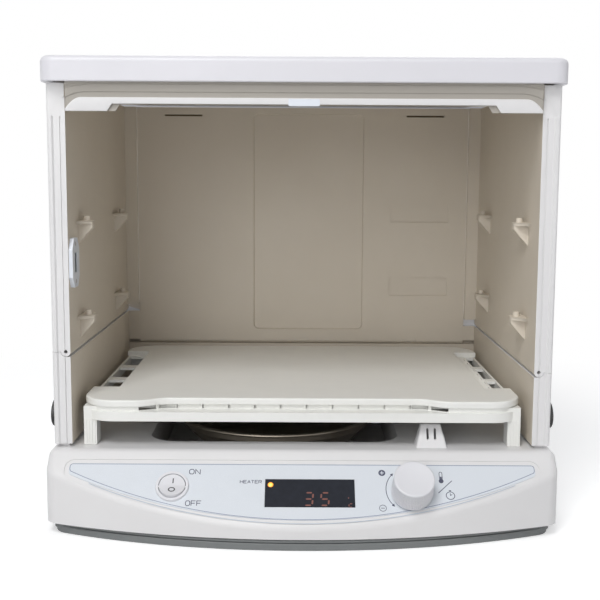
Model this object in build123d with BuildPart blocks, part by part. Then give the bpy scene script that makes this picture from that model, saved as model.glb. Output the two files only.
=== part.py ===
"""Folding dough proofer: a heated base, three walls that fold down over a slatted tray, and a lift-off lid.

Millimetres. X runs to the right, Y to the back, Z up. The origin is on the table, under the middle
of the whole outline, and the front of the side walls lies in the plane y = FRONT_Y.
"""

import os
from math import cos, radians, sin, sqrt

from build123d import *

os.makedirs("parts", exist_ok=True)

# ---------------------------------------------------------------- driving dimensions
BASE_WIDTH = 434.0
BASE_BOW = 59.0  # how far the middle of the front stands before the walls
BASE_CORNER_BOW = 19.6  # the same at the front corners
BASE_BEHIND = 4.0  # the base behind the back wall
BASE_CORNER_RADIUS = 14.0
SKIRT_TOP = 9.9
SKIRT_INSET = 6.0
COVER_CLEARANCE = 0.2
COVER_FLANGE = 2.6
DECK_Z = 69.5
SHELL = 3.0
TOP_EDGE_RADIUS = 7.0
BROW_RADIUS = 8.0  # between the deck and the control panel

PANEL_TILT = 47.5  # the control panel's normal, in degrees above level
PANEL_TOP_Y = -5.0

WALL_INSET = 4.3  # from the base's side to a wall's outer face
WALL_THICKNESS = 15.2
BACK_DISTANCE = 296.0  # from the walls' front to the back wall's inner face
WALL_TOP = 378.4
WALL_FOOT_Z = 72.5
BACK_THICKNESS = 8.0
BACK_CHANNEL_HALF = 62.0
BACK_CHANNEL_X = 7.0
BACK_CHANNEL_INSETS = (12.0, 8.0)  # from the hinge line and from the wall's top
BACK_CHANNEL_CORNER = 6.0
BACK_PAD_DEPTH = 2.0
POCKET_X = 132.0
POCKET_DROP = 1.5
POCKET_SIZE = (66.0, 21.0)
BACK_SLOT_XS = (-133.0, 137.0)
BACK_SLOT = (42.0, 2.0)
DOOR_RECESS_DEPTH = 1.6
DOOR_RECESS_LAP = 11.2  # over the side walls' inner faces
DOOR_RECESS_DROP = 11.5  # under the lid
DOOR_RECESS_RADIUS = 18.3
SEAL_GROOVE = 1.2
SEAL_GROOVE_AT = 4.2  # outwards from the wall's inner face
SEAL_GROOVE_DEPTH = 1.0
WALL_ROUNDING = 2.5
UPSTAND_ROOT = 3.5  # the root is narrower than the upstand by this on each side
UPSTAND_ROOT_END = 6.0
REBATE_CLEARANCE = 0.6

BARREL_RADIUS = 4.0
PIN_RADIUS = 1.5
PIN_RUNNING = 0.05
HINGE_GAP = 0.3
FOLD_GAP = 0.8  # between the walls when they lie folded on each other
EAR_LENGTH = 14.0
EAR_COUNT = 3

BRACKET_REACH = 12.4
BRACKET_HEIGHT = 20.0
BRACKET_LEDGE = 2.6
BRACKET_TIP = 6.0
BRACKET_WIDTH = 13.0
LEDGE_LENGTH = 36.0
PEG_RADIUS = 3.2
PEG_HEIGHT = 4.0
BRACKET_LEVELS = (178.5, 262.0)
BRACKET_DISTANCES = (48.0, 222.0)
FLANGE_THICKNESS = 8.0
FLANGE_GAP = 0.3
CORNER_INSET = 2.5  # from a side upstand's faces to its corner post

LID_INSET = 2.5  # the lid's side within the base's
LID_FRONT = 10.0  # the lid's overhang before the walls
LID_GAP = 1.2  # over the walls
LID_HEIGHT = 18.8
LID_CORNER_RADIUS = 12.0
LID_EDGE_RADIUS = 5.0
LID_SHELL = 2.8
LINER_THICKNESS = 2.4
LID_PAD_GAP = 0.3
LID_PAD = (5.0, 24.0)
LID_PAD_PITCH = 200.0
LID_RIB = 2.0
LID_RIB_COUNTS = (5, 3)
LID_RIB_PITCHES = (78.0, 90.0)
LID_RIB_MARGINS = (60.0, 40.0)
LID_LOWER_ROUNDING = 1.2
LINER_CLEARANCE = 0.2
LATCH_NOTCH = (27.0, 9.0)
LATCH_SIZE = (25.6, 5.6)
LATCH_RISE = 1.6
LATCH_PROUD = 0.6
BEAM_SETBACK = 0.5  # behind the lid's front

BEAM_CLEARANCE = 0.9  # to each side wall
BEAM_DEPTH = 8.9
BEAM_DROP = 19.8
BEAM_TAB_DROP = 25.8
BEAM_TAB_LENGTH = 35.1
BEAM_TAB_SLANT = 4.0
BEAM_BAND_DROPS = (5.8, 11.8)  # under the lid
BEAM_BAND_DEPTH = 2.4
BEAM_BAND_TAPER = 50.0
BEAM_BAND_LAPS = (13.5, -1.5)  # over the side walls' inner faces
BEAM_BAND_RADIUS = 18.0

TRAY_SIDE_GAP = 6.0
TRAY_BACK_GAP = 12.0
TRAY_FRONT = 1.0
TRAY_TOP = 110.5
TRAY_CORNER = 30.0
TRAY_PLATE = 2.6
TRAY_EDGE = 5.5  # height of the upper plate's edge
TRAY_LIP = 0.9  # from the lower frame's side to the plate's edge
TRAY_NECK_INSET = 2.4  # the same to the neck between them
TRAY_ROUNDING = 1.6
TRAY_STEP_Z = 100.5
TRAY_RIM_BOTTOM = 92.4
TRAY_SKIN = 2.2
TRAY_SETBACK = 11.0  # how far the middle of the plate's front stands back
TRAY_SETBACK_INNER = 105.0
TRAY_SETBACK_OUTER = 136.0
VENT_MIDDLE = -7.5  # the front row's middle stands a little to the left
CELL_COUNT = 9
CELL_PITCH = 22.5
CELL_BORDER = 0.5
CELL_DEPTH = 0.8
SLIT_WIDTH = 1.3
END_SLOT_AT = 118.0
END_SLOT_WIDTH = 14.0
PIN_WIDTH = 2.4
NOTCH_FRONT = 60.0
NOTCH_BACK_GAP = 39.0
NOTCH_DEPTH = 24.5
LADDER_COUNT = 3
LADDER_PITCH = 62.0
LADDER_SLOT = 49.0
LADDER_BORDER = 2.0
LADDER_RAIL = 4.7
LOUVRE_WIDTH = 7.8
LOUVRE_MARGIN = 1.6
LOUVRE_COUNT = 9
LOUVRE_PITCH = 20.0
LOUVRE_LENGTH = 18.0
LOUVRE_SKIN = 1.6
LOUVRE_TILT = 17.0
LOUVRE_SEAT = 0.8
TRAY_RIB = 1.8
TRAY_RIB_COUNT = 5
TRAY_RIB_PITCH = 62.0
TRAY_RIB_DEPTH = 7.0
TRAY_RIB_MARGIN = 40.0
LEG_WIDTH = 11.0
LEG_DEPTH = 16.0
LEG_INSET = 2.6
LEG_MARGIN = 16.0
LEG_CLEARANCE = 0.25
LEG_RIDGE = 1.2
LEG_RIDGES = 4

WELL_CENTRE = (-25.0, 130.0)
WELL_WIDTH = 222.0
WELL_LENGTH = 216.0
WELL_CORNER = 26.0
WELL_FLOOR = 34.0
PAN_RADIUS = 95.0
PAN_RIM_Z = 72.4
PAN_RIM_WIDTH = 5.0
PAN_FLOOR_Z = 44.0
PAN_FLOOR_RADIUS = 70.0
PAN_SKIN = 0.8
PAN_WALL = 8.0  # height of the upright part under the rim
PAN_SHIFT = 6.0  # the pan stands before the well's middle
HEATER_RADIUS = 62.0
HEATER_ROD = 3.2
HEATER_RISE = 1.4  # from the well's floor to the rod
CLIP_SIZE = (14.0, 11.0)
CLIP_SLOT = 7.4
CLIP_COUNT = 3
CLIP_GAP = 0.2  # under the pan
CUTOUT_DISC = (8.0, 5.0)  # radius and height
CUTOUT_STRAP = (26.0, 6.0, 1.2)

KNOB_AT = (91.0, -40.5)  # on the panel, from the middle of its top edge
KNOB_RADIUS = 17.4
KNOB_SKIRT_RADIUS = 19.6
KNOB_HEIGHT = 21.0
KNOB_LIFT = 1.6  # free height under the knob, which the press takes up
KNOB_PRESS = 1.0
KNOB_EDGE = 1.4
KNOB_DISH = 1.0
KNOB_SKIRT_HEIGHT = 2.0
KNOB_CAVITY = 13.5
KNOB_BOSS = 5.5
KNOB_BOSS_RISE = 2.6
KNOB_ROOF = 5.0
BUSHING_RADIUS = 4.3
ENCODER_SIZE = 13.0
ENCODER_DEPTH = 8.0
ROTOR_RADIUS = 5.0
ROTOR_SINK = 2.2
ROTOR_HEIGHT = 2.4
ROTOR_CLEARANCE = 0.3
ROTOR_TEETH = 12
ROTOR_TOOTH = 0.8
ENCODER_FLOOR = 2.0
BUSHING_TOP = 1.2
BUSHING_CLEARANCE = 0.3
NUT_RADIUS = 6.6
NUT_HEIGHT = 1.6
KNOB_RIBS = 36
KNOB_RIB_PROUD = 0.6
KNOB_RIB_WIDTH = 0.9
SHAFT_RADIUS = 3.0
SHAFT_RUNNING = 0.06
SWITCH_AT = (-108.0, -36.0)
SWITCH_BEZEL = 14.2
SWITCH_BEZEL_HEIGHT = 2.0
SWITCH_BARREL = 12.4
SWITCH_BARREL_DEPTH = 13.0
SWITCH_CLEARANCE = 0.2
ROCKER_RADIUS = 11.0
ROCKER_CLEARANCE = 0.4
ROCKER_THROW = 7.0  # degrees to each side of level
ROCKER_PIN = 1.2
ROCKER_CROWN = 1.6
ROCKER_DROP = 5.0  # from the pin to the rocker's flat underside
ROCKER_PIN_END = 0.4
SWITCH_FLOOR = 1.6
SWITCH_TAPER = 20
TERMINAL_SIZE = (4.8, 0.8)
TERMINAL_PITCH = 8.0
TERMINAL_LENGTH = 9.0
WINDOW_AT = (6.4, -41.5)
WINDOW_SIZE = (74.4, 26.0)
WINDOW_SEAT = 2.0
WINDOW_THICKNESS = 0.9
WINDOW_CLEARANCE = 0.1
MODULE_GAP = 0.2  # under the window
LAMP_RADIUS = 1.9
LAMP_ROUNDING = 1.2
SWITCH_LAP = 0.8  # of the bezel over the printed film
KNOB_HOLE = 8.5
DISPLAY_DEPTH = 7.0
DIGITS_SIZE = (60.0, 19.0)
DIGITS_SHIFT = 3.0
BOARD_SIZE = (92.0, 36.0)
BOARD_THICKNESS = 1.6
BOARD_CORNER = 2.0
BOARD_HOLE_INSET = 4.0
BOARD_SCREW_RADIUS = 2.6
BOARD_SCREW_HEIGHT = 1.6
LAMP_AT = (-26.0, -34.1)
OVERLAY_THICKNESS = 0.7
OVERLAY_TOP = -14.0
OVERLAY_BOTTOM = -66.3
OVERLAY_INSET = 21.0  # from the base's side
OVERLAY_SHOULDER = (11.0, -29.0)  # in from the tip, and down from the panel's top
OVERLAY_CORNER = 4.0
OVERLAY_MARGIN = 4.0  # the moulded step round it

GUARD_X = 111.8
GUARD_BOTTOM = (27.0, 20.0)
GUARD_TOP = (17.0, 9.0)
GUARD_HEIGHT = 18.6
GUARD_SKIN = 2.0
GUARD_FRONT = 3.0
SENSOR_RADIUS = 2.2
SENSOR_CLEARANCE = 0.5
SENSOR_COLLAR = 2.0
SENSOR_COLLAR_HEIGHT = 2.5
SENSOR_ROOT = 8.0
SENSOR_HEIGHT = 21.0
SENSOR_BACK = 1.0  # behind the middle of its guard
GUARD_CORNER = 2.0
GUARD_LEAN = 4.0  # how far the guard's top stands back
GUARD_SLOT = (9.0, 2.0)
GUARD_SLOT_Z = 11.0
GUARD_SLOT_PITCH = 6.4

OVAL_HEIGHT = 24.0
OVAL_LENGTH = 30.0
OVAL_PROUD = 2.4
OVAL_Z = 96.5
OVAL_Y = 26.0
OVAL_FLAT = 0.3  # upright part of the cap's edge

CATCH_Y = 16.0
CATCH_Z = 227.5
CATCH_LENGTH = 26.0
CATCH_HEIGHT = 42.0
CATCH_PROUD = 3.4
MAGNET_SIZE = (8.0, 17.0)
MAGNET_POCKET = 2.6
MAGNET_THICKNESS = 1.6
MAGNET_CLEARANCE = 0.2
CATCH_SHOULDER = 9.0
CATCH_CORNER = 2.0
CATCH_SCREW_INSET = 5.0
CATCH_SCREW_RADIUS = 2.2
CATCH_SCREW_SINK = 1.2
CATCH_SCREW_HEIGHT = 1.0

FOOT_HEIGHT = 2.4
FOOT_RADIUS = 9.0
FOOT_INSET = 34.0
FOOT_FRONT = 12.0
FOOT_TAPER = -12
COVER_CHAMFER = 2.0
CONTROL_POST = 3.5
CONTROL_HOLE_INSET = 5.0
AIR_SLOT = (4.4, 38.0)
AIR_SLOT_PITCHES = (12.0, 50.0)
AIR_SLOT_COUNTS = (9, 2)
AIR_SLOT_Y = 170.0
SCREW_HEAD = (3.4, 2.0)  # radius and height
SCREW_SHANK = (1.6, 12.0)
INLET_WIDTH = 28.0
INLET_HEIGHT = 20.0
INLET_DEPTH = 22.0
INLET_Z = 38.0
INLET_X = 120.0
INLET_CORNER = 3.0
INLET_CLEARANCE = 0.2
INLET_WALL = 3.0
INLET_FLANGE = 2.0
INLET_FLOOR = 5.0
INLET_PIN_RADIUS = 1.2
INLET_PIN_PITCH = 8.6
INLET_PIN_LENGTH = 9.0

BOARD_Z = 16.0
CONTROL_X = 152.0
CONTROL_Y = 110.0
CONTROL_SIZE = (84.0, 130.0)
CONTROL_CORNER = 3.0
TRANSFORMER_SHIFT = 30.0
TRANSFORMER_SIZE = (36.0, 30.0, 26.0)
TRANSFORMER_CORNER = 2.0
RELAY_SHIFT = (-18.0, -20.0)
RELAY_SIZE = (20.0, 15.0, 16.0)

# ---------------------------------------------------------------- sizes that follow
TILT_SIN, TILT_COS = sin(radians(PANEL_TILT)), cos(radians(PANEL_TILT))
KNOB_REACH = (
    (KNOB_RADIUS - KNOB_EDGE - KNOB_AT[1]) * TILT_SIN
    + (KNOB_LIFT + KNOB_HEIGHT - KNOB_EDGE) * TILT_COS + KNOB_EDGE - PANEL_TOP_Y
)
BASE_BACK = BACK_DISTANCE + BACK_THICKNESS + BASE_BEHIND
BODY_LENGTH = max(BASE_BOW, KNOB_REACH) + BASE_BACK
FRONT_Y = BODY_LENGTH / 2 - BASE_BACK
WALL_OUTER = BASE_WIDTH / 2 - WALL_INSET
WALL_INNER = WALL_OUTER - WALL_THICKNESS
LID_WIDTH = BASE_WIDTH - 2 * LID_INSET
LID_BACK = BASE_BACK
LID_BOTTOM = WALL_TOP + LID_GAP
DOOR_RECESS_HALF = WALL_INNER + DOOR_RECESS_LAP
DOOR_RECESS_TOP = LID_BOTTOM - DOOR_RECESS_DROP
BEAM_HALF = WALL_INNER - BEAM_CLEARANCE
BEAM_BOTTOM = LID_BOTTOM - BEAM_DROP
BEAM_TAB_BOTTOM = LID_BOTTOM - BEAM_TAB_DROP
BEAM_TAB_INNER = BEAM_HALF - BEAM_TAB_LENGTH
BEAM_BANDS = [(LID_BOTTOM - drop, WALL_INNER + lap) for drop, lap in zip(BEAM_BAND_DROPS, BEAM_BAND_LAPS)]
TRAY_HALF = WALL_INNER - TRAY_SIDE_GAP
TRAY_BACK = BACK_DISTANCE - TRAY_BACK_GAP
NOTCH_BACK = TRAY_BACK - NOTCH_BACK_GAP
NOTCH_INNER = TRAY_HALF - NOTCH_DEPTH
LADDER_OUTER = TRAY_HALF - LADDER_RAIL
LOUVRE_INNER = NOTCH_INNER + LOUVRE_MARGIN
LOUVRE_OUTER = LOUVRE_INNER + LOUVRE_WIDTH
OVERLAY_HALF = BASE_WIDTH / 2 - OVERLAY_INSET
WALL_DEPTH = BACK_DISTANCE - FLANGE_GAP
BACK_INNER_Y = FRONT_Y + BACK_DISTANCE
BACK_HALF = WALL_INNER - BRACKET_REACH - FLANGE_GAP
BACK_AXIS_Z = TRAY_TOP + BARREL_RADIUS + 1.0
BACK_FOLDED_TOP = BACK_AXIS_Z + BACK_THICKNESS - BARREL_RADIUS
RIGHT_AXIS_Z = BACK_FOLDED_TOP + 0.5 + BRACKET_REACH + BARREL_RADIUS
RIGHT_FOLDED_TOP = RIGHT_AXIS_Z + WALL_THICKNESS - BARREL_RADIUS
LEFT_AXIS_Z = RIGHT_FOLDED_TOP + FOLD_GAP + BARREL_RADIUS
CONTROL_AT = (CONTROL_X, FRONT_Y + CONTROL_Y)
GUARD_Y = FRONT_Y + GUARD_FRONT + GUARD_BOTTOM[1] / 2
LEFT, RIGHT = -1, 1
AXIS_Z = {LEFT: LEFT_AXIS_Z, RIGHT: RIGHT_AXIS_Z}
PANEL_ORIGIN = (0, FRONT_Y + PANEL_TOP_Y, DECK_Z)
PANEL_NORMAL = (0, -TILT_COS, TILT_SIN)
panel = Plane(origin=PANEL_ORIGIN, x_dir=(1, 0, 0), z_dir=PANEL_NORMAL)
front = Plane(origin=(0, FRONT_Y, 0), x_dir=(1, 0, 0), z_dir=(0, -1, 0))
inlet_plane = Plane(origin=(INLET_X, FRONT_Y + BASE_BACK, INLET_Z), x_dir=(-1, 0, 0), z_dir=(0, 1, 0))
FAR = 400.0  # past any edge of the object, for cuts
STANDING = (Align.CENTER, Align.CENTER, Align.MIN)


def on_panel(at, height=0.0):
    """The panel's plane, moved to a place on it and raised along its normal."""
    return Plane(
        origin=tuple(panel.from_local_coords((at[0], at[1], height))), x_dir=panel.x_dir, z_dir=panel.z_dir
    )


def save(builder, name):
    """Label a finished piece and write it as a STEP file of that name."""
    builder.part.label = name
    export_step(builder.part, f"parts/{name}.step")


def base_outline(inset=0.0):
    """The base seen from above: straight sides and back, and a bowed front."""
    half = BASE_WIDTH / 2
    corner_y = FRONT_Y - BASE_CORNER_BOW
    with BuildLine() as outline:
        ThreePointArc((-half, corner_y), (0, FRONT_Y - BASE_BOW), (half, corner_y))
        Polyline((half, corner_y), (half, FRONT_Y + BASE_BACK), (-half, FRONT_Y + BASE_BACK), (-half, corner_y))
    make_face(outline.edges())
    fillet(vertices(), BASE_CORNER_RADIUS)
    if inset:
        offset(amount=-inset, mode=Mode.REPLACE)


def overlay_outline(grow=0.0):
    """The D-shaped field of the control panel: a straight top and a bowed lower edge."""
    half = OVERLAY_HALF + grow
    top = OVERLAY_TOP + grow
    rise = OVERLAY_SHOULDER[1] - OVERLAY_BOTTOM
    shoulder = OVERLAY_HALF - OVERLAY_SHOULDER[0]
    radius = (shoulder**2 + rise**2) / (2 * rise) + grow
    bottom = OVERLAY_BOTTOM - grow
    corner = bottom + radius - sqrt(radius**2 - half**2)
    with BuildLine() as outline:
        ThreePointArc((-half, corner), (0, bottom), (half, corner))
        Polyline((half, corner), (half, top), (-half, top), (-half, corner))
    make_face(outline.edges())
    fillet(vertices(), OVERLAY_CORNER + grow)


def rounded_well(grow=0.0):
    """The well's outline in the deck."""
    with Locations((WELL_CENTRE[0], FRONT_Y + WELL_CENTRE[1])):
        RectangleRounded(WELL_WIDTH + 2 * grow, WELL_LENGTH + 2 * grow, WELL_CORNER + grow)


# ---------------------------------------------------------------- base shell
with BuildPart() as base_cavity:
    with BuildSketch(Plane.XY.offset(SKIRT_TOP)):
        base_outline(SHELL)
    extrude(amount=DECK_Z - SHELL - SKIRT_TOP)
    with BuildSketch(on_panel((0, 0), -SHELL)):
        Rectangle(2 * FAR, FAR)
    extrude(amount=FAR, mode=Mode.SUBTRACT)

with BuildPart() as base_shell:
    with BuildSketch(Plane.XY.offset(SKIRT_TOP)):
        base_outline()
    extrude(amount=DECK_Z - SKIRT_TOP)
    fillet(faces().sort_by(Axis.Z)[-1].edges(), TOP_EDGE_RADIUS)
    with BuildSketch(on_panel((0, 0))):
        Rectangle(2 * FAR, FAR)
    extrude(amount=FAR, mode=Mode.SUBTRACT)
    brow = edges().filter_by(Axis.X).filter_by(lambda e: e.center().Y < FRONT_Y).sort_by(Axis.Z)[-1]
    fillet(brow, BROW_RADIUS)
    add(base_cavity.part, mode=Mode.SUBTRACT)
    # the well for the water pan
    with BuildSketch(Plane.XY.offset(WELL_FLOOR - SHELL)):
        rounded_well(SHELL)
    extrude(amount=DECK_Z - WELL_FLOOR)
    with BuildSketch(Plane.XY.offset(WELL_FLOOR)):
        rounded_well()
    extrude(amount=DECK_Z, mode=Mode.SUBTRACT)
    # the panel's shallow field, and the openings in it
    with BuildSketch(on_panel((0, 0))):
        overlay_outline(OVERLAY_MARGIN)
    extrude(amount=-OVERLAY_THICKNESS, mode=Mode.SUBTRACT)
    with BuildSketch(on_panel((0, 0))):
        with Locations(WINDOW_AT):
            Rectangle(WINDOW_SIZE[0] - 2 * WINDOW_SEAT, WINDOW_SIZE[1] - 2 * WINDOW_SEAT)
        with Locations(SWITCH_AT):
            Circle(SWITCH_BARREL + SWITCH_CLEARANCE)
        with Locations(KNOB_AT):
            Circle(BUSHING_RADIUS + BUSHING_CLEARANCE)
    extrude(amount=SHELL, both=True, mode=Mode.SUBTRACT)
    # posts that hold the display board
    with BuildSketch(on_panel(WINDOW_AT, -SHELL)):
        with GridLocations(BOARD_SIZE[0] - 2 * BOARD_HOLE_INSET, BOARD_SIZE[1] - 2 * BOARD_HOLE_INSET, 2, 2):
            Circle(BOARD_SCREW_RADIUS)
    extrude(amount=-(DISPLAY_DEPTH - SHELL))
    # the sensor's hole and the inlet's opening
    with BuildSketch(Plane.XY.offset(DECK_Z)):
        with Locations((GUARD_X, GUARD_Y + SENSOR_BACK)):
            Circle(SENSOR_RADIUS + SENSOR_CLEARANCE)
    extrude(amount=-2 * SHELL, mode=Mode.SUBTRACT)
    with BuildSketch(inlet_plane):
        RectangleRounded(INLET_WIDTH + 2 * INLET_CLEARANCE, INLET_HEIGHT + 2 * INLET_CLEARANCE, INLET_CORNER)
    extrude(amount=-2 * SHELL, mode=Mode.SUBTRACT)
save(base_shell, "base_shell")

# ---------------------------------------------------------------- bottom cover, feet and screws
with BuildPart() as bottom_cover:
    with BuildSketch(Plane.XY.offset(FOOT_HEIGHT)):
        base_outline(SKIRT_INSET)
    extrude(amount=SKIRT_TOP - FOOT_HEIGHT)
    # the flange that locates it inside the base shell
    with BuildSketch(Plane.XY.offset(SKIRT_TOP)):
        base_outline(SHELL + COVER_CLEARANCE)
    extrude(amount=COVER_FLANGE)
    with BuildSketch(Plane.XY.offset(FOOT_HEIGHT + SHELL)):
        base_outline(SKIRT_INSET + SHELL)
    extrude(amount=SKIRT_TOP, mode=Mode.SUBTRACT)
    bottom_edges = edges().filter_by(lambda e: e.bounding_box().max.Z < FOOT_HEIGHT + COVER_CLEARANCE)
    chamfer(bottom_edges, COVER_CHAMFER)
    # posts under the control board
    with BuildSketch(Plane.XY.offset(FOOT_HEIGHT + SHELL)):
        with Locations(CONTROL_AT):
            with GridLocations(*[size - 2 * CONTROL_HOLE_INSET for size in CONTROL_SIZE], 2, 2):
                Circle(CONTROL_POST)
    extrude(amount=BOARD_Z - FOOT_HEIGHT - SHELL)
    # rows of slots that let air into the base
    with BuildSketch(Plane.XY.offset(FOOT_HEIGHT)):
        with Locations((0, FRONT_Y + AIR_SLOT_Y)):
            with GridLocations(*AIR_SLOT_PITCHES, *AIR_SLOT_COUNTS):
                Rectangle(*AIR_SLOT)
    extrude(amount=SHELL, mode=Mode.SUBTRACT)
save(bottom_cover, "bottom_cover")

FOOT_SPOTS = [
    (x, y)
    for x in (-BASE_WIDTH / 2 + FOOT_INSET, BASE_WIDTH / 2 - FOOT_INSET)
    for y in (FRONT_Y + FOOT_FRONT, FRONT_Y + BASE_BACK - FOOT_INSET)
]
with BuildPart() as rubber_feet:
    with BuildSketch():
        with Locations(*FOOT_SPOTS):
            Circle(FOOT_RADIUS)
    extrude(amount=FOOT_HEIGHT, taper=FOOT_TAPER)
save(rubber_feet, "rubber_feet")

SCREW_SPOTS = [(x / 2, y) for x, y in FOOT_SPOTS]
with BuildPart() as bottom_screws:
    with Locations(*[(x, y, FOOT_HEIGHT + SHELL) for x, y in SCREW_SPOTS]):
        Cylinder(*SCREW_HEAD, align=STANDING)
        Cylinder(*SCREW_SHANK, align=STANDING)
save(bottom_screws, "bottom_screws")


# ---------------------------------------------------------------- folding walls
def hinge_x(side):
    """The x of a side wall's hinge line, one barrel radius out from its inner face."""
    return side * (WALL_INNER + BARREL_RADIUS)


def ear_places(length):
    """Middles of the fixed ears along a hinge, evenly spread."""
    return [length * (n + 0.5) / EAR_COUNT for n in range(EAR_COUNT)]


def along_y(x, z, spots, radius, length, mode=Mode.ADD):
    """Short cylinders along Y at a hinge line."""
    with Locations(*[Location((x, FRONT_Y + y, z), (90, 0, 0)) for y in spots]):
        Cylinder(radius, length, mode=mode)


def along_x(y, z, spots, radius, length, mode=Mode.ADD):
    """Short cylinders along X at the back hinge line."""
    with Locations(*[Location((x, y, z), (0, 90, 0)) for x in spots]):
        Cylinder(radius, length, mode=mode)


def door_recess():
    """The step round the mouth that a door closes into, cut from what stands at the front."""
    with BuildSketch(front) as recess:
        with Locations((0, DOOR_RECESS_TOP / 2)):
            RectangleRounded(2 * DOOR_RECESS_HALF, DOOR_RECESS_TOP, DOOR_RECESS_RADIUS)
    extrude(recess.sketch, amount=-DOOR_RECESS_DEPTH, taper=40, mode=Mode.SUBTRACT)


def seal_groove(side, low, high):
    """The thin upright groove beside the mouth."""
    with BuildSketch(front) as groove:
        with Locations((side * (WALL_INNER + SEAL_GROOVE_AT), (low + high) / 2)):
            Rectangle(SEAL_GROOVE, high - low)
    extrude(groove.sketch, amount=-DOOR_RECESS_DEPTH - SEAL_GROOVE_DEPTH, mode=Mode.SUBTRACT)


def shelf_bracket(side, y, z):
    """One shelf support: a thin ledge, a gusset under it and a round peg on it."""
    inner = side * WALL_INNER
    tip = side * (WALL_INNER - BRACKET_REACH)
    with BuildSketch(front.offset(-y + BRACKET_WIDTH / 2)) as gusset:
        with BuildLine():
            Polyline(
                (inner + side, z), (tip, z), (tip, z - BRACKET_TIP), (inner, z - BRACKET_HEIGHT),
                (inner + side, z - BRACKET_HEIGHT), close=True,
            )
        make_face()
    extrude(gusset.sketch, amount=-BRACKET_WIDTH)
    with BuildSketch(Plane.XY.offset(z - BRACKET_LEDGE)) as ledge:
        with BuildLine():
            half = LEDGE_LENGTH / 2
            middle = FRONT_Y + y
            Polyline(
                (inner + side, middle - half), (inner, middle - half), (tip, middle - BRACKET_WIDTH / 2),
                (tip, middle + BRACKET_WIDTH / 2), (inner, middle + half), (inner + side, middle + half),
                close=True,
            )
        make_face()
    extrude(ledge.sketch, amount=BRACKET_LEDGE)
    with BuildSketch(Plane.XY.offset(z)) as peg:
        with Locations((side * (WALL_INNER - BRACKET_REACH * 0.55), FRONT_Y + y)):
            Circle(PEG_RADIUS)
    extrude(peg.sketch, amount=PEG_HEIGHT, taper=8)


def side_wall(side):
    """A side wall that swings in about its lower inner edge."""
    axis_z = AXIS_Z[side]
    x = hinge_x(side)
    with BuildPart() as wall:
        with BuildSketch(front):
            with Locations((side * (WALL_INNER + WALL_OUTER) / 2, (axis_z + WALL_TOP) / 2)):
                Rectangle(WALL_THICKNESS, WALL_TOP - axis_z)
            with Locations((x, axis_z)):
                Circle(BARREL_RADIUS)
        extrude(amount=-WALL_DEPTH)
        outer_edges = edges().filter_by(Axis.Z).filter_by(lambda e: abs(e.center().X) > WALL_OUTER - 0.1)
        fillet(outer_edges, WALL_ROUNDING)
        door_recess()
        seal_groove(side, axis_z - BARREL_RADIUS, DOOR_RECESS_TOP - DOOR_RECESS_RADIUS)
        # the flange before the back wall's edge, which closes the corner
        flange_low = axis_z + BARREL_RADIUS + HINGE_GAP
        with BuildSketch(front.offset(-WALL_DEPTH)):
            with Locations((side * (WALL_INNER - (BRACKET_REACH - 1) / 2), (flange_low + WALL_TOP) / 2)):
                Rectangle(BRACKET_REACH + 1, WALL_TOP - flange_low)
        extrude(amount=FLANGE_THICKNESS)
        for z in BRACKET_LEVELS:
            for y in BRACKET_DISTANCES:
                shelf_bracket(side, y, z)
        ears = ear_places(WALL_DEPTH)
        along_y(x, axis_z, ears, BARREL_RADIUS + HINGE_GAP, EAR_LENGTH + 2 * HINGE_GAP, Mode.SUBTRACT)
        along_y(x, axis_z, [WALL_DEPTH / 2], PIN_RADIUS + PIN_RUNNING, 2 * WALL_DEPTH, Mode.SUBTRACT)
        if side == RIGHT:
            # the rebate that the left wall's flange drops into when both lie folded
            rebate_low = RIGHT_AXIS_Z + hinge_x(RIGHT) - hinge_x(LEFT) - (WALL_TOP - LEFT_AXIS_Z) - 2 * FOLD_GAP
            rebate_front = WALL_DEPTH - FLANGE_THICKNESS - FOLD_GAP
            with BuildSketch(Plane.YZ.offset(WALL_OUTER)):
                with Locations((FRONT_Y + (rebate_front + WALL_DEPTH) / 2, (rebate_low + WALL_TOP) / 2)):
                    Rectangle(WALL_DEPTH - rebate_front, WALL_TOP - rebate_low)
            extrude(amount=-(BRACKET_REACH + REBATE_CLEARANCE), mode=Mode.SUBTRACT)
    return wall


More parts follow.
